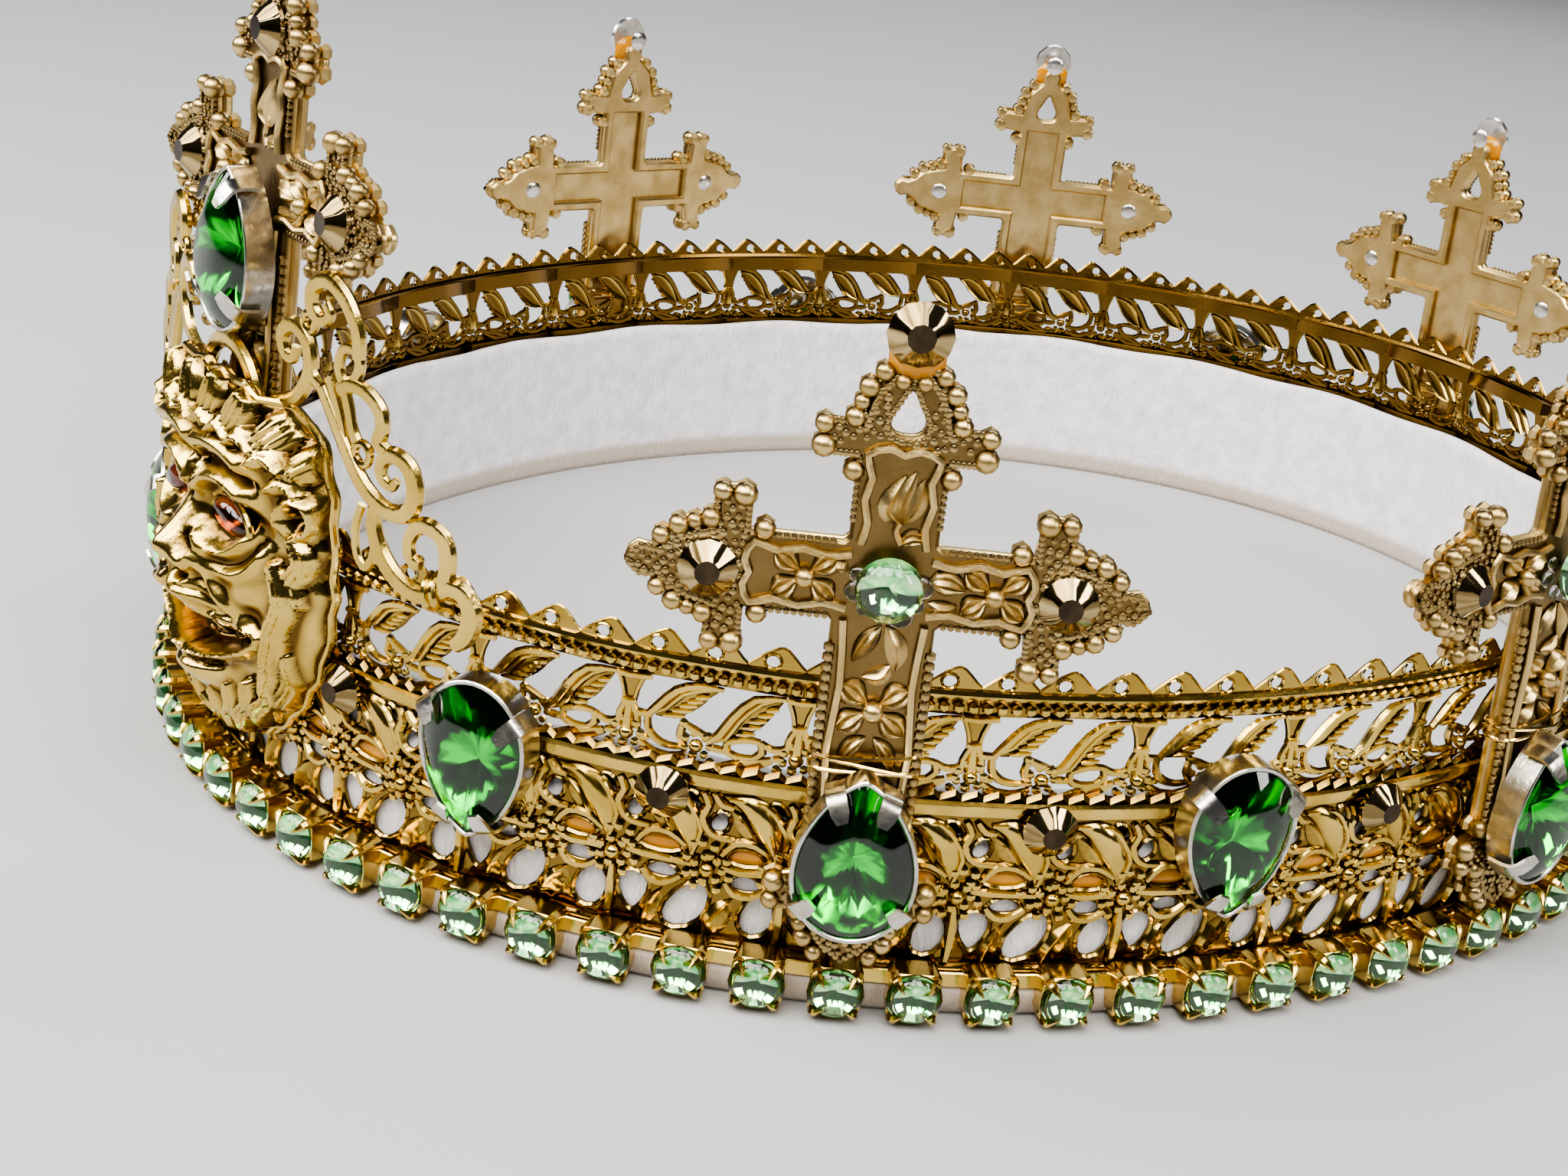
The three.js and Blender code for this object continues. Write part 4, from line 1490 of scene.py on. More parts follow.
@dataclass
class CupChain:
    """Eighty light green stones in prong cups on flat links, round the foot."""

    oval: Oval
    gilt: Material
    back: float = -2.55
    middle: float = 3.0
    radius: float = 2.55
    girdle: float = 0.3

    def cups(self) -> Casting:
        """Works one cup, its four prongs and a link.

        Returns:
            The metal of one repeat.
        """
        work = Workpiece()
        y = self.middle
        wall = self.radius - 0.2
        corner = [(0, 1), (0.62, 1), (0.9, 0.9), (1, 0.62)]
        quarter = [(wall * a, wall * b) for a, b in corner]
        outer = [p for turn in (0, -90, -180, -270) for p in turned(quarter, turn)]
        outer = [(px, py + y) for px, py in outer][::-1]
        inner = ring_of((0, y), self.radius - 0.5, 16)
        work.plate([outer, inner[::-1]], self.back, self.girdle - 0.1)
        work.plate([outer], self.back, self.back + 0.35, 0.08)
        reach = self.radius + 0.12
        for side, lift in ((-1, -1), (-1, 1), (1, -1), (1, 1)):
            x0, y0 = side * reach * 0.68, lift * reach * 0.74
            path = [
                (x0 * 0.9, y + y0 * 0.9, self.back + 0.3),
                (x0, y + y0, self.girdle - 0.2),
                (x0 * 0.9, y + y0 * 0.9, self.girdle + 0.62),
                (x0 * 0.58, y + y0 * 0.58, self.girdle + 1.28),
            ]
            work.wire(path, 0.4, taper=(1.2, 1.2, 0.95, 0.12))
        pitch = self.oval.girth / CHAIN_STONES
        gap = pitch / 2 - self.radius
        link = [(self.radius - 0.3, y), (pitch - self.radius + 0.3, y)]
        link += [(pitch - self.radius + 0.3, y + 1.5), (self.radius - 0.3, y + 1.5)]
        work.plate([link], self.back + 0.1, self.back + 0.6 + 0.1 * gap)
        return work.casting()

    def stones(self) -> Casting:
        """Cuts one stone."""
        work = Workpiece()
        spot = Matrix.Translation((0, self.middle, self.girdle))
        work.gem(brilliant(8, 0.54, 1.05, 0.12, 1.6), circle(self.radius), spot, 1)
        return work.casting()

    def dress(self) -> None:
        """Shows the metal and the stones."""
        pitch = self.oval.girth / CHAIN_STONES
        cups, stones = self.cups(), self.stones()
        metal = cups.laid("chain_cups", self.oval.rounds(cups, pitch, CHAIN_STONES))
        show(metal, [self.gilt], ["cup_chain"])
        glass = stones.laid("chain_stones", self.oval.rounds(stones, pitch, CHAIN_STONES))
        show(glass, [PALE_GLASS.material(), PALE_FOIL.material()], ["cup_chain"])


# The crosses


@dataclass(frozen=True)
class Arm:
    """One arm of a cross, measured outward from the crossing."""

    angle: float
    half: float
    panel: float
    lobe_at: float
    lobe_out: float
    tip: float
    lobe: float = 1.3
    tip_radius: float = 1.3


ARMS = (
    Arm(0, 3.3, 10.6, 13.2, 6.0, 21.7),
    Arm(90, 3.65, 10.2, 12.0, 6.2, 20.2),
    Arm(180, 3.3, 10.6, 13.2, 6.0, 21.7),
    Arm(270, 4.3, 26.0, 28.6, 6.2, 35.0),
)


@dataclass
class CrossRow:
    """Eight cast crosses, the front one raised behind the mask."""

    oval: Oval
    gilt: Material
    bronze: Material
    middle: float = 41.0
    foot: float = 21.0
    back: float = -2.2
    lean: float = 2.5
    front: Point = (61.8, 25.5, -3.5, 3.0)
    face: float = 1.9
    crown_face: float = 2.7
    pear_up: float = 17.5
    front_pear_up: float = 56.0
    eye_bottom: float = 12.4
    eye_top: float = 16.2
    arm_stone_at: float = 14.8
    bronze_radius: float = 2.5
    centre_radius: float = 2.8
    crest_scale: float = 1.1
    granule_count: int = 210
    granule_pitch: float = 0.44
    rim: float = 1.3
    web: float = 0.9
    frame_start: float = 3.3
    frame_inset: float = 0.95

    def cross_seat(self, k: int) -> Matrix:
        """Gives the place of a cross's crossing."""
        middle, foot, back, lean = (self.middle, self.foot, self.back, self.lean) if k else self.front
        stand = self.oval.seat(k / CROSS_COUNT, foot, back, lean)
        return stand @ Matrix.Translation((0, middle - foot, 0))

    def pear_seat(self, k: int) -> Matrix:
        """Gives the place of a cross's pear stone."""
        drop = self.pear_up - self.middle if k else self.front_pear_up - self.front[0]
        return self.cross_seat(k) @ Matrix.Translation((0, drop, self.crown_face + 0.3))

    def outline(self) -> list[Point]:
        """Gives the plate's outline, arm by arm.

        Returns:
            Its points.
        """
        points = []
        for i, arm in enumerate(ARMS):
            following = ARMS[(i + 1) % len(ARMS)]
            neck = arm.lobe_at - arm.lobe
            half = [(neck - 0.3, arm.half)]
            turns = [math.pi * (1 - k / 8) for k in range(9)]
            at, out = arm.lobe_at, arm.lobe_out
            half += [(at + arm.lobe * math.cos(a), out - 0.4 + arm.lobe * math.sin(a)) for a in turns]
            notches = [(1.2, 2.4), (2.9, 2.9), (4.3, 3.2), (5.5, 4.4)]
            half += [(at + u, out - v) for u, v in notches]
            half += [(arm.tip - 2.0, 1.1), (arm.tip - 1.0, arm.tip_radius), (arm.tip - 0.25, 0.7)]
            lower = [(x, -y) for x, y in half]
            end = [*lower, (arm.tip, 0.0), *half[::-1]]
            corner = [(following.half + 0.4, arm.half), (following.half, arm.half + 0.4)]
            points += turned([*end, *corner], arm.angle)
        return points

    def eyelet(self) -> list[Point]:
        """Gives the outline of the opening in the top arm."""
        low, high = self.eye_bottom, self.eye_top
        left = [(0, high), (-0.75, high - 1.2), (-1.4, low + 1.2), (-0.9, low + 0.15)]
        right = [(-x, y) for x, y in reversed(left[1:])]
        return [(x, y) for x, y in eased([*left, *right], 3, True)]

    def channel(self) -> list[Point]:
        """Gives the outline of the hollow that is pressed into the back.

        Returns:
            Its points.
        """
        points = []
        for i, arm in enumerate(ARMS):
            following = ARMS[(i + 1) % len(ARMS)]
            half, end = arm.half - self.rim, arm.panel + 0.4
            points += turned([(end, -half), (end, half), (following.half - self.rim, half)], arm.angle)
        return points

    def frames(self, work: Workpiece) -> None:
        """Adds the raised wavy frames and beaded edges of the arms.

        Args:
            work: what is being worked.
        """
        face = self.face
        for arm in ARMS:
            near, inset = self.frame_start, arm.half - self.frame_inset
            end = arm.panel + 0.6
            long = [near + (end - near) * i / 4 for i in range(5)]
            sway = (0.0, -0.35, 0.1, -0.3, 0.25)
            top = [(u, inset + w) for u, w in zip(long, sway)]
            bulge = [(end + 0.7, inset * 0.45), (end + 0.25, 0.0), (end + 0.7, -inset * 0.45)]
            under = [(u, -v) for u, v in reversed(top)]
            loop = turned([*top, *bulge, *under], arm.angle)
            work.wire(loop, 0.38, face + 0.35, sides=Sides.FINE)
            radius, pitch = (0.55, 0.86) if arm.angle == 270 else (0.36, 0.62)
            for side in (-1, 1):
                edge = [(arm.half + 1.6, side * (arm.half - 0.1)), (end - 0.6, side * (arm.half - 0.1))]
                path = np.array(turned(edge, arm.angle))
                work.beads(path, radius, pitch, face - 0.05, 0.9)

    def trefoil(self, work: Workpiece, arm: Arm) -> None:
        """Adds the balls, rope edges and granules of an arm's end.

        Args:
            work: what is being worked.
            arm: the arm.
        """
        face = self.face
        balls, ropes = [], []
        at, out = arm.lobe_at, arm.lobe_out
        for side in (-1, 1):
            balls += [
                (at - 0.85, side * (out + 0.35), 1.08),
                (at + 0.95, side * (out + 0.45), 0.88),
                (at - 2.7, side * (arm.half + 0.3), 0.95),
                (at + 1.7, side * (out - 1.9), 0.92),
                (at + 3.0, side * (out - 2.3), 0.74),
                (at + 4.25, side * (out - 2.75), 0.92),
                (at + 5.6, side * (out - 3.8), 0.84),
            ]
            ropes.append([(at - 1.3, side * (arm.half + 0.2)), (at - 1.3, side * (out - 0.6))])
            ropes.append([(at + 1.3, side * (out - 2.0)), (at + 1.35, side * (out - 0.3))])
            edge = [(at + 0.9, out - 2.8), (at + 3.6, out - 3.6), (at + 5.2, 1.4)]
            ropes.append([(u, side * v) for u, v in edge])
            ropes.append([(arm.tip - 2.9, side * 0.9), (arm.tip - 1.4, side * 1.15), (arm.tip - 0.3, 0.0)])
        for u, v, radius in balls:
            (x, y), = turned([(u, v)], arm.angle)
            work.bead((x, y, face - 0.1), radius, fine=True)
            work.bead((x, y, 0.45), radius * 0.95, (1.0, 1.0, 0.7))
        for rope in ropes:
            path = eased(turned(rope, arm.angle), 4)
            work.beads(path, 0.36, 0.5, face + 0.05)
        self.granules(work, arm)

    def granules(self, work: Workpiece, arm: Arm) -> None:
        """Adds the small grains over an arm's end, clear of its opening and of its edge.

        Args:
            work: what is being worked.
            arm: the arm.
        """
        rng = np.random.default_rng(SEED + arm.angle)
        reach = arm.tip - arm.lobe_at
        for i in range(self.granule_count):
            swing = i * math.pi * (3 - math.sqrt(5))
            away = self.granule_pitch * math.sqrt(i + 0.5)
            u = arm.lobe_at + 1.2 + away * math.cos(swing) + rng.uniform(-0.12, 0.12)
            v = away * math.sin(swing) + rng.uniform(-0.12, 0.12)
            in_diamond = abs(v) < (arm.lobe_out - 2.3) * (1 - (max(0.0, u - arm.lobe_at) / reach) ** 2)
            in_lobe = abs(u - arm.lobe_at) < 1.0 and abs(v) < arm.lobe_out - 0.3
            if u < arm.panel + 1.4 or not (in_diamond or in_lobe):
                continue
            (x, y), = turned([(u, v)], arm.angle)
            if arm.angle == 90 and abs(x) < 1.8 and self.eye_bottom - 0.4 < y < self.eye_top + 0.4:
                continue
            work.bead((x, y, self.face + rng.uniform(0.0, 0.2)), rng.uniform(0.28, 0.42))

    def flower(self, work: Workpiece, at: Point, size: float, start: float) -> None:
        """Adds a flower of four ribbed petals, set crosswise round a ball."""
        for turn in (36, 144, 216, 324):
            angle = math.radians(start + turn)
            c, s = math.cos(angle), math.sin(angle)
            path = [(at[0] + r * size * c, at[1] + r * size * s) for r in (0.4, 1.6, 2.9)]
            work.blade(path, 2.15 * size, 0.95, Grain.PETAL, self.face + 0.1, (8, 12), 3, 1.5, 0.3)
        work.bead((at[0], at[1], self.face + 0.8), 0.8 * size, fine=True)

    def foliage(self, work: Workpiece) -> None:
        """Adds the flowers, buds and leaves inside the frames.

        Args:
            work: what is being worked.
        """
        level = self.face + 0.15
        self.flower(work, (-6.9, 0.1), 1.08, 0)
        self.flower(work, (8.7, 0.0), 1.08, 0)
        work.blade([(3.2, 0.5), (4.7, 0.7), (6.3, 0.2)], 2.3, 0.8, Grain.PETAL, level, (10, 12), 3)
        work.blade([(3.4, -1.2), (4.6, -1.5), (5.8, -1.3)], 1.2, 0.6, Grain.PETAL, level, (8, 8), 2)
        work.blade([(-3.4, 0.9), (-4.2, 1.2), (-5.0, 0.9)], 1.3, 0.6, Grain.PETAL, level, (8, 8), 2)
        bud = ([(0.3, 5.2), (0.2, 7.2), (1.1, 9.7)], [(0.3, 5.2), (1.4, 7.0), (1.9, 9.2)])
        for petal in (*bud, [(0.3, 5.2), (-0.9, 6.6), (0.3, 9.3)]):
            work.blade(petal, 1.6, 0.75, Grain.STRANDED, level, (10, 6), 2)
        work.wire([(0.3, 5.4), (0.0, 4.6), (0.5, 3.6)], 0.3, level + 0.2)
        work.blade([(0.3, -3.6), (1.3, -5.4), (1.4, -7.4)], 1.9, 0.7, Grain.STRANDED, level, (8, 6), 2)
        work.blade([(1.0, -7.0), (0.2, -8.0), (-1.2, -8.2)], 1.5, 0.6, Grain.STRANDED, level, (8, 6), 2)
        self.flower(work, (0.0, -11.0), 1.2, 0)
        leaves = (
            ([(0.4, 3.4), (1.4, 4.2), (2.5, 4.0)], 1.5),
            ([(-0.2, -3.6), (-1.2, -5.2), (-2.2, -6.9)], 1.7),
            ([(-0.3, -13.6), (-1.5, -14.6), (-2.3, -16.2)], 1.6),
            ([(0.4, -13.6), (1.5, -14.8), (2.3, -16.4)], 1.6),
        )
        for path, width in leaves:
            work.blade(path, width, 0.6, Grain.PETAL, level, (8, 6), 3)

    def build(self) -> Casting:
        """Casts one cross.

        Returns:
            The casting in the flat.
        """
        work = Workpiece()
        work.plate([self.outline(), self.eyelet()[::-1]], self.web, self.face, 0.3)
        work.plate([self.outline(), self.eyelet()[::-1], self.channel()[::-1]], 0.0, self.web + 0.1, 0.3)
        self.frames(work)
        for arm in ARMS:
            self.trefoil(work, arm)
        self.foliage(work)
        border = np.array(self.eyelet() + self.eyelet()[:1])
        work.beads((border - (0, 14.2)) * 1.24 + (0, 14.2), 0.34, 0.55, self.face + 0.05)
        for x in (-0.9, 0.9):
            work.bead((x, self.eye_top + 0.75, self.face + 0.1), 0.72, fine=True)
        # Painted shade darkens what lies below the cross's face.
        return work.casting(self.face - 0.05, 0.9)

    def wires(self) -> Casting:
        """Winds the binding wire round the shaft, above the pear.

        Returns:
            The wire in the flat.
        """
        work = Workpiece()
        reach = ARMS[3].half + 0.35
        for drop, slope in ((-15.2, 0.35), (-16.0, -0.5), (-16.5, 0.15)):
            loop = [
                (-reach, drop - slope, 1.0), (-reach * 0.8, drop - slope, 2.5), (0, drop, 2.9),
                (reach * 0.8, drop + slope, 2.5), (reach, drop + slope, 1.0),
                (reach * 0.8, drop, -0.35), (0, drop, -0.4), (-reach * 0.8, drop, -0.35),
            ]
            work.wire(loop, 0.2, closed=True, steps=4)
        return work.casting()

    def glued(self) -> None:
        """Shows the stones glued to the crosses, and the glue."""
        bronze, centre = Workpiece(), Workpiece()
        bronze.gem(BRONZE_CUT, circle(self.bronze_radius), Matrix.Identity(4), 1, 2)
        bronze.bead((0, 0, -2.2), 1.2, (1.0, 1.0, 0.2), fine=True, coat=1)
        cut = brilliant(12, 0.5, 1.3, 0.2, 1.4, CONE)
        centre.gem(cut, circle(self.centre_radius), Matrix.Translation((0, 0, 1.0)), 1)
        glue, crust = Workpiece(), Workpiece()
        glue.bead((0, 0, 0), 2.2, (1.0, 0.85, 0.35), fine=True)
        rng = np.random.default_rng(SEED)
        for x, y in turned(ring_of((0, 0), 2.75, 11)[:7], 165):
            size = rng.uniform(0.4, 0.8)
            crust.bead((x, y, rng.uniform(-0.2, 0.1)), size, (1.5, 1.4, 0.5), fine=True)
        arms, tops, middles = [], [], []
        for k in range(CROSS_COUNT):
            seat = self.cross_seat(k)
            arms += [seat @ Matrix.Translation((side * self.arm_stone_at, 0, 2.2)) for side in (-1, 1)]
            if k:
                tops.append(seat @ Matrix.Translation((0, 20.9, 1.9)) @ Matrix.Scale(self.crest_scale, 4))
                middles.append(seat @ Matrix.Translation((0, 0, self.crown_face - 0.3)))
            else:
                arms.append(seat @ Matrix.Translation((0, 13.8, 2.2)))
        stones = bronze.casting()
        # The flat tops take the painted dark reflection.
        coats = [self.bronze, STONE_FOIL.material(), PAINTED_TABLE_REFLECTION.material()]
        show(stones.seated("cross_bronze_stones", arms + tops), coats)
        green = [PALE_GLASS.material(), PALE_FOIL.material()]
        show(centre.casting().seated("cross_centre_stones", middles), green)
        drops = [seat @ Matrix.Translation((0, -1.6, -0.1)) for seat in tops]
        show(glue.casting().seated("amber_glue", drops), [AMBER_GLUE.material()])
        show(crust.casting().seated("glue_crust", middles), [CLEAR_GLUE.material()])

    def dress(self) -> None:
        """Shows each cross with its binding wire."""
        shape, wires = self.build(), self.wires()
        for k in range(CROSS_COUNT):
            node = f"cross_{k + 1}"
            mesh = shape.seated(f"{node}_casting", [self.cross_seat(k)])
            show(mesh, [self.gilt], [node])
        seats = [self.cross_seat(k) for k in range(1, CROSS_COUNT)]
        show(wires.seated("binding_wires", seats), [WIRE_GILT.material()])
        self.glued()


# The front


@dataclass(frozen=True)
class Scroll:
    """A rounded band of the plate in the flat: its middle line, half its width and how it thins."""

    path: Points
    half: float
    taper: Sequence[float] = (1.0, 1.0)


SCROLLS = (
    Scroll(
        [(24.9, 41.7), (24.2, 41.0), (23.1, 41.6), (23.2, 43.1), (24.5, 43.9), (26.2, 43.2), (26.95, 41.4),
         (26.6, 39.6), (25.2, 38.7), (23.2, 38.9), (21.0, 40.2), (19.0, 42.6), (17.2, 45.2), (15.4, 47.6)],
        0.88,
        (0.5, 0.75, 1.0, 1.05, 1.0, 0.95, 0.85),
    ),
    Scroll(
        [(27.7, 34.9), (26.8, 35.2), (26.5, 36.6), (27.3, 38.1), (28.7, 38.5), (30.2, 37.8), (30.75, 36.2),
         (30.6, 34.4), (29.8, 32.8)],
        0.88,
        (0.9, 0.75, 1.0, 1.05, 0.9),
    ),
    Scroll(
        [(22.4, 38.6), (22.5, 36.6), (23.5, 34.5), (25.3, 32.8), (27.5, 32.0), (29.4, 32.5), (31.2, 33.6),
         (32.8, 33.2), (33.5, 31.6), (33.0, 29.6), (31.8, 28.4)],
        0.92,
        (0.8, 1.0, 1.0, 0.9, 1.05, 1.2, 0.8),
    ),
    Scroll(
        [(17.8, 48.0), (19.2, 48.8), (21.0, 48.6), (22.6, 47.5), (23.0, 45.9), (22.6, 44.6), (23.6, 43.9)],
        0.78,
    ),
    Scroll([(18.2, 48.4), (18.9, 46.6), (19.4, 44.9), (20.0, 43.9)], 0.6),
    Scroll([(16.3, 48.8), (17.2, 47.0), (18.2, 44.6), (18.5, 43.0)], 0.6),
    Scroll(
        [(18.2, 48.5), (17.5, 50.0), (18.0, 51.6), (19.3, 52.0), (20.1, 50.8), (19.5, 49.3), (18.5, 48.4)],
        0.58,
    ),
    Scroll(
        [(19.9, 51.2), (19.7, 53.6), (18.2, 56.0), (16.0, 57.2), (14.0, 56.3), (13.7, 54.5), (15.0, 53.5),
         (16.1, 54.2), (15.6, 55.2)],
        0.82,
        (0.8, 1.0, 1.05, 1.0, 0.8, 0.6),
    ),
    Scroll(
        [(8.6, 44.4), (11.8, 45.8), (13.6, 48.4), (13.2, 51.2), (11.2, 52.2), (9.5, 51.0), (9.9, 49.3),
         (11.2, 49.2), (11.5, 50.3)],
        0.82,
        (0.9, 1.0, 1.05, 1.0, 0.8, 0.6),
    ),
    Scroll([(15.4, 47.6), (14.2, 48.2), (13.5, 49.4)], 0.7),
    Scroll([(20.9, 38.4), (20.2, 36.2), (20.4, 33.8), (21.5, 32.7), (22.4, 34.0), (22.6, 36.4)], 0.45),
)
TIE = ((28.5, 34.0, -0.9), (28.75, 33.3, 0.4), (29.05, 32.4, 0.75), (29.3, 31.5, 0.4), (29.5, 30.9, -0.9))


@dataclass
class ScrollPlate:
    """Openwork of C scrolls behind the mask, stepping down to each side."""

    oval: Oval
    gilt: Material
    level: float = -0.35
    flat: float = 0.75

    def build(self) -> Casting:
        """Works the plate.

        Returns:
            The plate in the flat.
        """
        work = Workpiece()
        work.wire(ring_of((0, 42.4), 5.35, 16), 0.9, self.level, self.flat, True, sides=Sides.FINE)
        for side in (-1, 1):
            for scroll in SCROLLS:
                line = [(side * x, y) for x, y in scroll.path]
                work.wire(
                    line, scroll.half, self.level, self.flat, taper=scroll.taper, sides=Sides.FINE, steps=4
                )
            for middle, radius in (((20.7, 43.0), 0.95), ((13.4, 53.0), 0.8)):
                ring = ring_of((side * middle[0], middle[1]), radius, 12)
                work.wire(ring, 0.42, self.level, 0.9, True, sides=Sides.FINE)
            work.bead((side * 27.5, 34.9, self.level + 0.1), 0.85, (1.0, 1.0, 0.8))
            for step in (0.0, 0.75):
                tie = [(side * (x + step), y + 0.3 * step, self.level + z) for x, y, z in TIE]
                work.wire(tie, 0.36)
        return work.casting()

    def dress(self) -> None:
        """Shows the plate in polished gilt."""
        shape = self.build()
        mesh = shape.laid("scroll_work", [self.oval.lay(shape.points)])
        show(mesh, [self.gilt], ["scroll_plate"])


@dataclass(frozen=True)
class Lock:
    """A lock of the mane: its middle line, width, rise and number of strands."""

    path: Points
    width: float
    rise: float = 1.5
    strands: int = 4


@dataclass(frozen=True)
class Swell:
    """A rounded rise or hollow of the face, the same on both sides."""

    at: Point
    size: Point
    rise: float
    tilt: float = 0.0


@dataclass(frozen=True)
class Fold:
    """A ridge or groove of the face along a path, the same on both sides."""

    path: Points
    width: float
    rise: float


SWELLS = (
    Swell((0.0, 3.0), (5.0, 12.0), 0.35),
    Swell((0.0, -1.6), (5.0, 5.0), 0.8),
    Swell((0.0, 3.0), (1.7, 2.5), 1.6),
    Swell((0.0, 0.9), (2.4, 1.8), 2.6),
    Swell((0.0, 6.3), (1.5, 1.2), -0.5),
    Swell((2.5, 0.0), (1.25, 1.2), 1.7),
    Swell((1.7, -0.9), (0.75, 0.6), -2.4, -20),
    Swell((2.3, -2.9), (2.8, 1.7), 2.6, -8),
    Swell((0.0, -2.8), (1.5, 1.4), 0.8),
    Swell((0.0, -3.1), (0.3, 1.5), -0.8),
    Swell((5.5, 5.4), (3.2, 1.9), -1.0, -14),
    Swell((9.6, 5.0), (1.7, 1.7), -0.6),
    Swell((8.2, -0.8), (2.6, 2.4), 0.9, 30),
    Swell((8.6, -3.4), (1.8, 1.0), -0.7, 30),
    Swell((0.0, -11.2), (4.2, 2.4), 2.6),
    Swell((13.5, 7.4), (0.9, 0.9), -1.2),
)
FOLDS = (
    Fold([(0.8, 6.4), (2.4, 8.2), (5.4, 8.9), (8.8, 7.8)], 0.9, 1.5),
    Fold([(0.0, 9.4), (3.0, 10.2), (6.0, 10.3), (9.0, 9.4)], 0.5, -0.9),
    Fold([(0.0, 11.2), (2.6, 11.9), (5.8, 11.9), (9.0, 10.9)], 1.1, 1.5),
    Fold([(0.5, 6.8), (0.75, 8.4), (0.6, 10.2)], 0.4, 0.7),
    Fold([(2.4, 3.4), (4.2, 2.2), (6.8, 2.5), (9.0, 4.6)], 0.75, 1.5),
    Fold([(3.6, 1.3), (6.0, 0.2), (8.8, 1.1), (10.6, 3.6)], 0.7, 0.8),
    Fold([(3.0, 1.7), (4.8, -0.7), (6.6, -2.8), (8.8, -4.6)], 0.8, 1.1),
    Fold([(3.5, -0.6), (5.0, -2.2), (6.6, -3.8)], 0.4, -0.7),
    Fold([(1.6, -2.3), (3.8, -2.3), (5.2, -3.1)], 0.26, -0.4),
    Fold([(1.6, -3.4), (3.6, -3.5), (5.0, -4.2)], 0.26, -0.4),
    Fold([(0.0, -10.6), (2.6, -10.4), (4.8, -9.8)], 0.4, -0.6),
    Fold([(12.4, 6.0), (12.0, 7.6), (13.0, 9.0), (14.6, 8.6), (14.8, 6.8), (13.6, 5.4)], 0.5, 1.3),
)
LIPS = (
    Fold([(0.0, -4.9), (3.2, -5.0), (6.4, -4.8), (9.8, -5.1)], 0.5, 0.8),
    Fold([(0.0, -9.2), (4.0, -8.8), (7.6, -7.4), (10.2, -5.3)], 0.65, 1.6),
)
TEETH = (
    Swell((3.8, -6.1), (0.5, 1.0), 2.2),
    Swell((1.1, -5.6), (0.55, 0.5), 1.2),
    Swell((2.4, -5.6), (0.55, 0.5), 1.2),
    Swell((0.0, -7.8), (3.4, 0.8), 1.2),
)
MANE = (
    Lock([(12.6, -6.4), (12.4, -9.6), (10.8, -12.4), (10.0, -14.4)], 2.3, 1.1),
    Lock([(1.5, 13.6), (2.1, 15.6), (2.4, 17.8)], 4.0, 1.6, 6),
    Lock([(5.4, 13.6), (6.6, 15.4), (7.4, 17.6)], 4.0, 1.6, 6),
    Lock([(9.2, 13.0), (10.8, 14.6), (12.0, 16.6)], 3.8, 1.5, 6),
    Lock([(12.2, 11.2), (13.6, 12.2), (15.2, 13.8)], 3.2, 1.4, 5),
    Lock([(13.4, 5.4), (14.4, 3.4), (13.4, 1.4), (14.2, -0.8)], 2.3, 1.3),
    Lock([(10.4, -8.8), (10.2, -11.6), (8.4, -13.6), (7.7, -15.6)], 2.5, 1.5),
    Lock([(7.7, -10.8), (7.4, -13.2), (5.7, -15.0), (5.0, -17.0)], 2.5, 1.5),
    Lock([(4.9, -12.0), (4.7, -14.3), (3.2, -16.1), (2.6, -17.8)], 2.5, 1.5),
    Lock([(1.7, -13.6), (1.8, -15.5), (0.6, -17.0), (0.1, -18.4)], 2.5, 1.5),
    Lock([(11.9, 2.6), (12.9, -0.6), (11.9, -4.2), (11.2, -7.6), (10.4, -10.8)], 2.6, 1.8, 5),
    Lock([(11.0, 9.6), (12.4, 10.4), (13.6, 9.6)], 2.2, 1.6, 2),
    Lock([(9.2, 11.6), (10.6, 12.6), (12.2, 11.6)], 2.3, 1.9, 2),
    Lock([(6.5, 12.9), (8.0, 13.9), (9.7, 12.9)], 2.3, 1.9, 2),
    Lock([(3.4, 13.2), (4.9, 14.3), (6.6, 13.5)], 2.3, 1.9, 2),
    Lock([(0.3, 13.1), (1.8, 14.4), (3.4, 13.8)], 2.3, 1.9, 2),
)


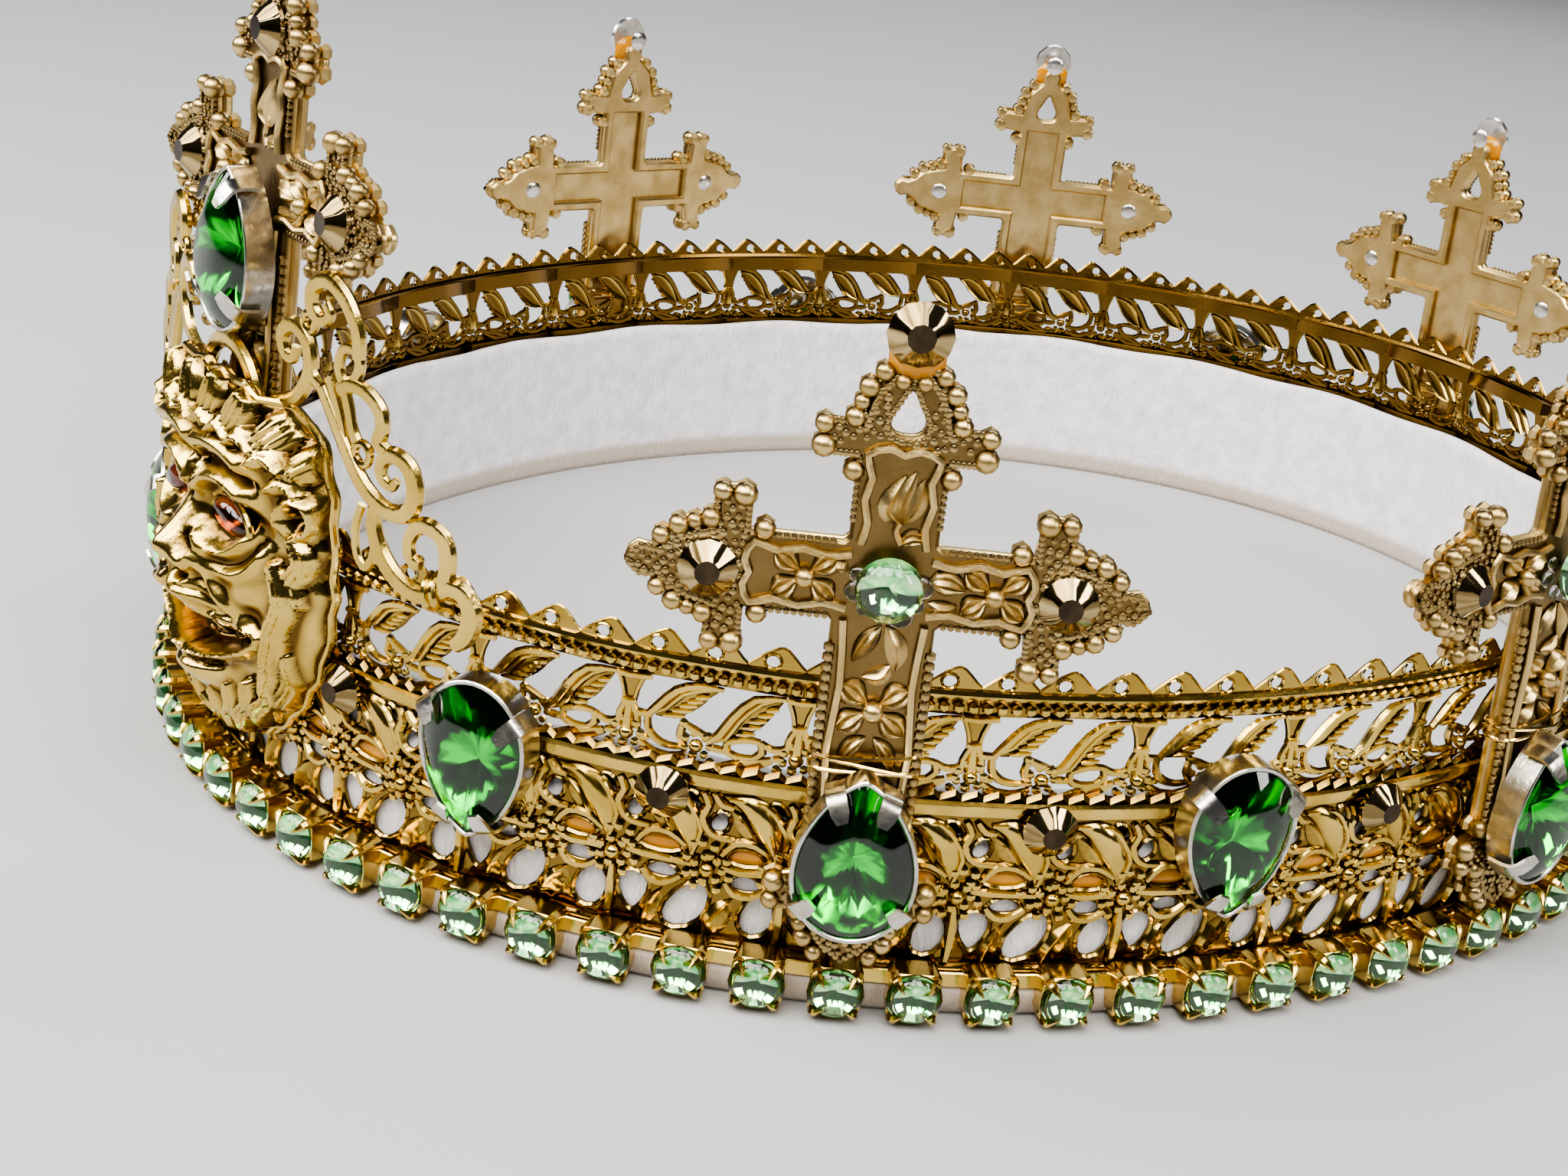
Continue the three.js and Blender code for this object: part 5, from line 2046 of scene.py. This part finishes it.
@dataclass
class LionMask:
    """The cast lion mask with open jaws, a curled mane and a plain side wall."""

    oval: Oval
    gilt: Material
    back: float = 0.7
    middle: float = 27.5
    half_width: float = 16.0
    up: float = 18.0
    down: float = 18.4
    square: float = 1.4
    dome: float = 2.1
    rim: float = 0.7
    locks: int = 26
    wave: float = 0.016
    wall: float = 3.2
    cuts: int = 190
    eye_across: float = 5.5
    eye_up: float = 5.4
    eye_tilt: float = 16.0
    eye_size: Point = (5.8, 3.2)
    lid_size: Point = (6.5, 3.9)
    rim_points: int = 64
    jaw: float = 9.8
    gape: Point = (-5.3, -8.9)
    throat: float = -1.2

    def outline(self, turn: Array) -> Array:
        """Gives the edge's reach in each direction, squarer above than below."""
        power = 2.0 + self.square * np.clip(2 * np.sin(turn), 0.0, 1.0)
        plain = (np.abs(np.cos(turn)) ** power + np.abs(np.sin(turn)) ** power) ** (-1 / power)
        return plain * (1 + self.wave * np.cos(self.locks * turn))

    def skull(self, x: Array, y: Array) -> Array:
        """Gives the depth of the plain rounded head under the features."""
        wide, high = x / self.half_width, y / np.where(y > 0, self.up, self.down)
        share = np.hypot(wide, high) / self.outline(np.arctan2(high, wide))
        edge = self.foot(x, y) + self.rim
        return edge + (self.dome - edge) * np.clip(1 - share**2, 0.0, 1.0) ** 0.5

    def relief(self, x: Array, y: Array) -> Array:
        """Gives the face's depth.

        Args:
            x: places across from the middle.
            y: places up from the nose.

        Returns:
            The depth at each place.
        """
        aside = np.abs(x)
        level = self.skull(x, y)
        depth = level.copy()
        for swell in SWELLS:
            depth += swell.rise * bell(aside, y, swell.at, swell.size, swell.tilt)
        for fold in FOLDS:
            depth += self.ridge(aside, y, fold)
        corner = np.clip(aside / self.jaw, 0.0, 1.2)
        top, bottom = self.gape[0] - 0.1 * corner**2, self.gape[1] + 3.3 * corner**2.2
        mouth = 1 / (1 + np.exp(-6 * (top - y))) / (1 + np.exp(-6 * (y - bottom)))
        mouth /= 1 + np.exp(-5 * (self.jaw - aside))
        depth -= np.maximum(depth - self.throat, 0.0) * 0.95 * mouth
        for tooth in TEETH:
            depth += tooth.rise * bell(aside, y, tooth.at, tooth.size) * mouth
        for lip in LIPS:
            depth += self.ridge(aside, y, lip)
        for lock in MANE:
            share, apart = along_path(aside, y, lock.path)
            half = lock.width / 2 * (0.45 + 0.55 * np.sin(np.pi * np.clip(share, 0.02, 0.98)) ** 0.7)
            s = np.clip(apart / half, -1.0, 1.0)
            body = np.sqrt(1 - s * s) * (lock.rise + 0.17 * np.cos(np.pi * lock.strands * s))
            depth = np.where(np.abs(s) < 1, np.maximum(depth, level - 0.25 + body), depth)
        return np.maximum(depth, np.minimum(self.throat, level))

    @staticmethod
    def ridge(aside: Array, y: Array, fold: Fold) -> Array:
        """Gives the height that a fold adds, fading at its ends."""
        share, apart = along_path(aside, y, fold.path)
        fade = np.minimum(1.0, 6 * np.minimum(share + 0.08, 1.08 - share))
        return fold.rise * fade * np.exp(-((apart / fold.width) ** 2))

    def foot(self, x: Array, y: Array) -> Array:
        """Gives the depth of the wall's back edge, which clears the plate at the top."""
        clear = np.clip((y - 7.0) / 4.0, 0.0, 1.0) * np.clip((12.0 - np.abs(x)) / 4.0, 0.0, 1.0)
        return -self.wall * (1.0 - clear)

    def face(self, work: Workpiece) -> None:
        """Works the face as one raised sheet with a plain wall and a closed back.

        Args:
            work: what is being worked.
        """
        part = bmesh.new()
        made = bmesh.ops.create_grid(part, x_segments=self.cuts, y_segments=self.cuts, size=1.0)
        u, v = np.array([vert.co[:2] for vert in made["verts"]]).T
        wide, high = u * np.sqrt(1 - v * v / 2), v * np.sqrt(1 - u * u / 2)
        reach = self.outline(np.arctan2(high, wide))
        x = wide * reach * self.half_width
        y = high * reach * np.where(high > 0, self.up, self.down)
        depth = self.relief(x, y)
        for vert, place in zip(made["verts"], np.column_stack([x, y, depth])):
            vert.co = place
        for share in (0.06, 0.94, 1.0):
            edges = [edge for edge in part.edges if edge.is_boundary]
            skirt = bmesh.ops.extrude_edge_only(part, edges=edges)
            for item in skirt["geom"]:
                if isinstance(item, bmesh.types.BMVert):
                    item.co.z += share * (self.foot(item.co.x, item.co.y) - item.co.z)
        edges = [edge for edge in part.edges if edge.is_boundary]
        lid = bmesh.ops.holes_fill(part, edges=edges, sides=0)
        bmesh.ops.poke(part, faces=lid["faces"])
        work.take_bmesh(part)
        # Painted shade: places lower than their surroundings get a low relief share and so the hollow colour.
        work.parts[-1].relief[: len(depth)] = self.painted_cavity_shade(depth)

    @staticmethod
    def painted_cavity_shade(depth: Array, passes: int = 40, reach: float = 0.36) -> Array:
        """Gives how little painted shade each place of a square field gets.

        Args:
            depth: the field's heights, row by row.
            passes: how often the field is levelled to find each place's surroundings.
            reach: height over the surroundings that takes a place from painted shade to none.

        Returns:
            A share for each place, low where it lies below its surroundings and painted shade darkens it.
        """
        side = math.isqrt(len(depth))
        field = depth.reshape(side, side)
        level = field
        for _ in range(passes):
            wide = np.pad(level, 1, mode="edge")
            level = (wide[:-2, 1:-1] + wide[2:, 1:-1] + wide[1:-1, :-2] + wide[1:-1, 2:] + level) / 5
        return np.clip(0.7 + (field - level) / reach, 0.0, 1.0).ravel()

    def eye_spot(self, side: int) -> Matrix:
        """Gives an eye's place on the face."""
        level = self.relief(np.array([self.eye_across]), np.array([self.eye_up]))[0]
        tilt = Matrix.Rotation(math.radians(-self.eye_tilt * side), 4, "Z")
        return Matrix.Translation((side * self.eye_across, self.eye_up, level + 0.5)) @ tilt

    def build(self) -> Casting:
        """Works the mask.

        Returns:
            The mask in the flat.
        """
        work = Workpiece()
        self.face(work)
        for side in (-1, 1):
            spot, edge = self.eye_spot(side), navette(*self.lid_size)
            lid = [tuple(spot @ Vector((*edge(a), 0.1))) for a in np.linspace(0, 2 * math.pi, 13)[:-1]]
            work.wire(lid, 0.38, closed=True, sides=Sides.FINE, steps=3)
        turns = np.linspace(0, 2 * math.pi, self.rim_points, endpoint=False)
        reach = self.outline(turns)
        x = self.half_width * reach * np.cos(turns)
        y = reach * np.sin(turns) * np.where(np.sin(turns) > 0, self.up, self.down)
        brow = [(px, py, self.foot(px, py) + self.rim) for px, py in zip(x, y)]
        work.wire(brow, 0.42, closed=True, sides=Sides.FINE)
        return work.casting()

    def eye(self, side: int) -> Casting:
        """Cuts one eye."""
        work = Workpiece()
        work.gem(brilliant(8, 0.5, 1.0, 0.2, 0.9), navette(*self.eye_size), self.eye_spot(side), 1)
        return work.casting()

    def dress(self) -> None:
        """Shows the mask and its red eyes."""
        lift = np.array([0.0, self.middle, self.back])
        shape = self.build()
        mesh = shape.laid("lion_mask_casting", [self.oval.lay(shape.points + lift)])
        show(mesh, [self.gilt], ["lion_mask"])
        coats = [RED_GLASS.material(), RED_FOIL.material()]
        for side, node in ((-1, "eye_stone_left"), (1, "eye_stone_right")):
            stone = self.eye(side)
            mesh = stone.laid(f"{node}_cut", [self.oval.lay(stone.points + lift)])
            show(mesh, coats, [node])


# The studio


@dataclass
class Studio:
    """Camera, floor and soft light."""

    oval: Oval
    azimuth: float = 50.2695
    elevation: float = 21.6448
    roll: float = 6.5288
    target: Point = (2.9039, -28.4065, 13.7576)
    distance: float = 246.778
    lens: float = 49.51
    sensor: float = 36.0
    floor_reach: float = 3.0
    sky: Colour = (0.30, 0.31, 0.33)
    sky_strength: float = 0.14
    look: str = "AgX - Medium High Contrast"

    def camera(self) -> None:
        """Sets the camera at the photograph's angle."""
        a, e, r = (math.radians(v) for v in (self.azimuth, self.elevation, self.roll))
        back = Vector((math.sin(a) * math.cos(e), -math.cos(a) * math.cos(e), math.sin(e)))
        right = (-back).cross(Vector((0, 0, 1))).normalized()
        up = right.cross(-back)
        across = right * math.cos(r) + up * math.sin(r)
        upright = -right * math.sin(r) + up * math.cos(r)
        look_at = Vector(self.target) + Vector((*self.oval.centre, 0.0))
        eye = (look_at + back * self.distance) * MM
        data = bpy.data.cameras.new("camera")
        data.lens = self.lens
        data.sensor_width = self.sensor
        data.clip_start = 0.005
        camera = linked("camera", data)
        camera.matrix_world = Matrix.Translation(eye) @ Matrix((across, upright, back)).transposed().to_4x4()
        bpy.context.scene.camera = camera

    def floor(self) -> None:
        """Lays the floor."""
        part = bmesh.new()
        bmesh.ops.create_grid(part, x_segments=8, y_segments=8, size=self.floor_reach)
        mesh = mesh_from(part, "floor")
        mesh.materials.append(Floor().material())
        linked("floor", mesh)

    def light(self, name: str, aloft: Point, size: Point, power: float, warmth: Colour) -> None:
        """Hangs one soft light.

        Args:
            name: its name.
            aloft: its azimuth and elevation in degrees and its distance in metres from the crown's middle.
            size: its width and height in metres.
            power: its power in watts.
            warmth: its colour.
        """
        data = bpy.data.lights.new(name, "AREA")
        data.shape = "RECTANGLE"
        data.size, data.size_y = size
        data.energy = power
        data.color = warmth
        lamp = linked(name, data)
        a, e = math.radians(aloft[0]), math.radians(aloft[1])
        away = Vector((math.sin(a) * math.cos(e), -math.cos(a) * math.cos(e), math.sin(e)))
        lamp.location = away * aloft[2]
        lamp.rotation_euler = (-away).to_track_quat("-Z", "Y").to_euler()

    def build(self) -> None:
        """Sets up the camera, the floor, the sky and the lights."""
        self.camera()
        self.floor()
        world = bpy.data.worlds.new("studio")
        world.use_nodes = True
        ground = world.node_tree.nodes["Background"]
        ground.inputs["Color"].default_value = (*self.sky, 1.0)
        ground.inputs["Strength"].default_value = self.sky_strength
        bpy.context.scene.world = world
        self.light("key_left", (-20, 46, 0.95), (0.3, 0.5), 6.0, (1.0, 0.98, 0.94))
        self.light("key", (12, 50, 0.95), (0.34, 0.5), 7.0, (1.0, 0.98, 0.94))
        self.light("key_right", (44, 54, 0.95), (0.3, 0.5), 5.0, (1.0, 0.98, 0.94))
        self.light("left_side", (-45, 32, 0.8), (0.24, 0.36), 3.2, (1.0, 0.97, 0.92))
        self.light("overhead", (70, 76, 0.8), (0.4, 0.3), 1.2, (1.0, 0.98, 0.95))
        self.light("key_far", (80, 50, 0.95), (0.26, 0.45), 4.0, (1.0, 0.98, 0.95))
        self.light("right_side", (112, 30, 0.7), (0.16, 0.3), 1.8, (1.0, 0.95, 0.88))
        self.light("behind", (215, 42, 1.3), (1.1, 0.3), 9.0, (0.96, 0.98, 1.0))
        bpy.context.scene.view_settings.look = self.look


def main() -> None:
    """Builds the crown's pieces in order."""
    logging.basicConfig(level=logging.INFO, format="%(message)s")
    low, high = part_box("felt_lining")
    oval = Oval(tuple((low[i] + high[i]) / 2 / MM for i in (0, 1)))
    Studio(oval).build()
    gilt = POLISHED_GILT.material()
    bronze = BRONZE_COAT.material()
    FeltLining(oval).dress()
    LowerLace(oval, gilt).dress()
    UpperLace(oval, gilt).dress()
    CupChain(oval, gilt).dress()
    crosses = CrossRow(oval, ANTIQUE_GILT.material(), bronze)
    crosses.dress()
    PearStones(oval).dress(crosses)
    BarStones(oval, bronze).dress()
    plain_gilt = MASK_GILT.material()
    ScrollPlate(oval, plain_gilt).dress()
    LionMask(oval, plain_gilt).dress()


if __name__ == "__main__":
    main()
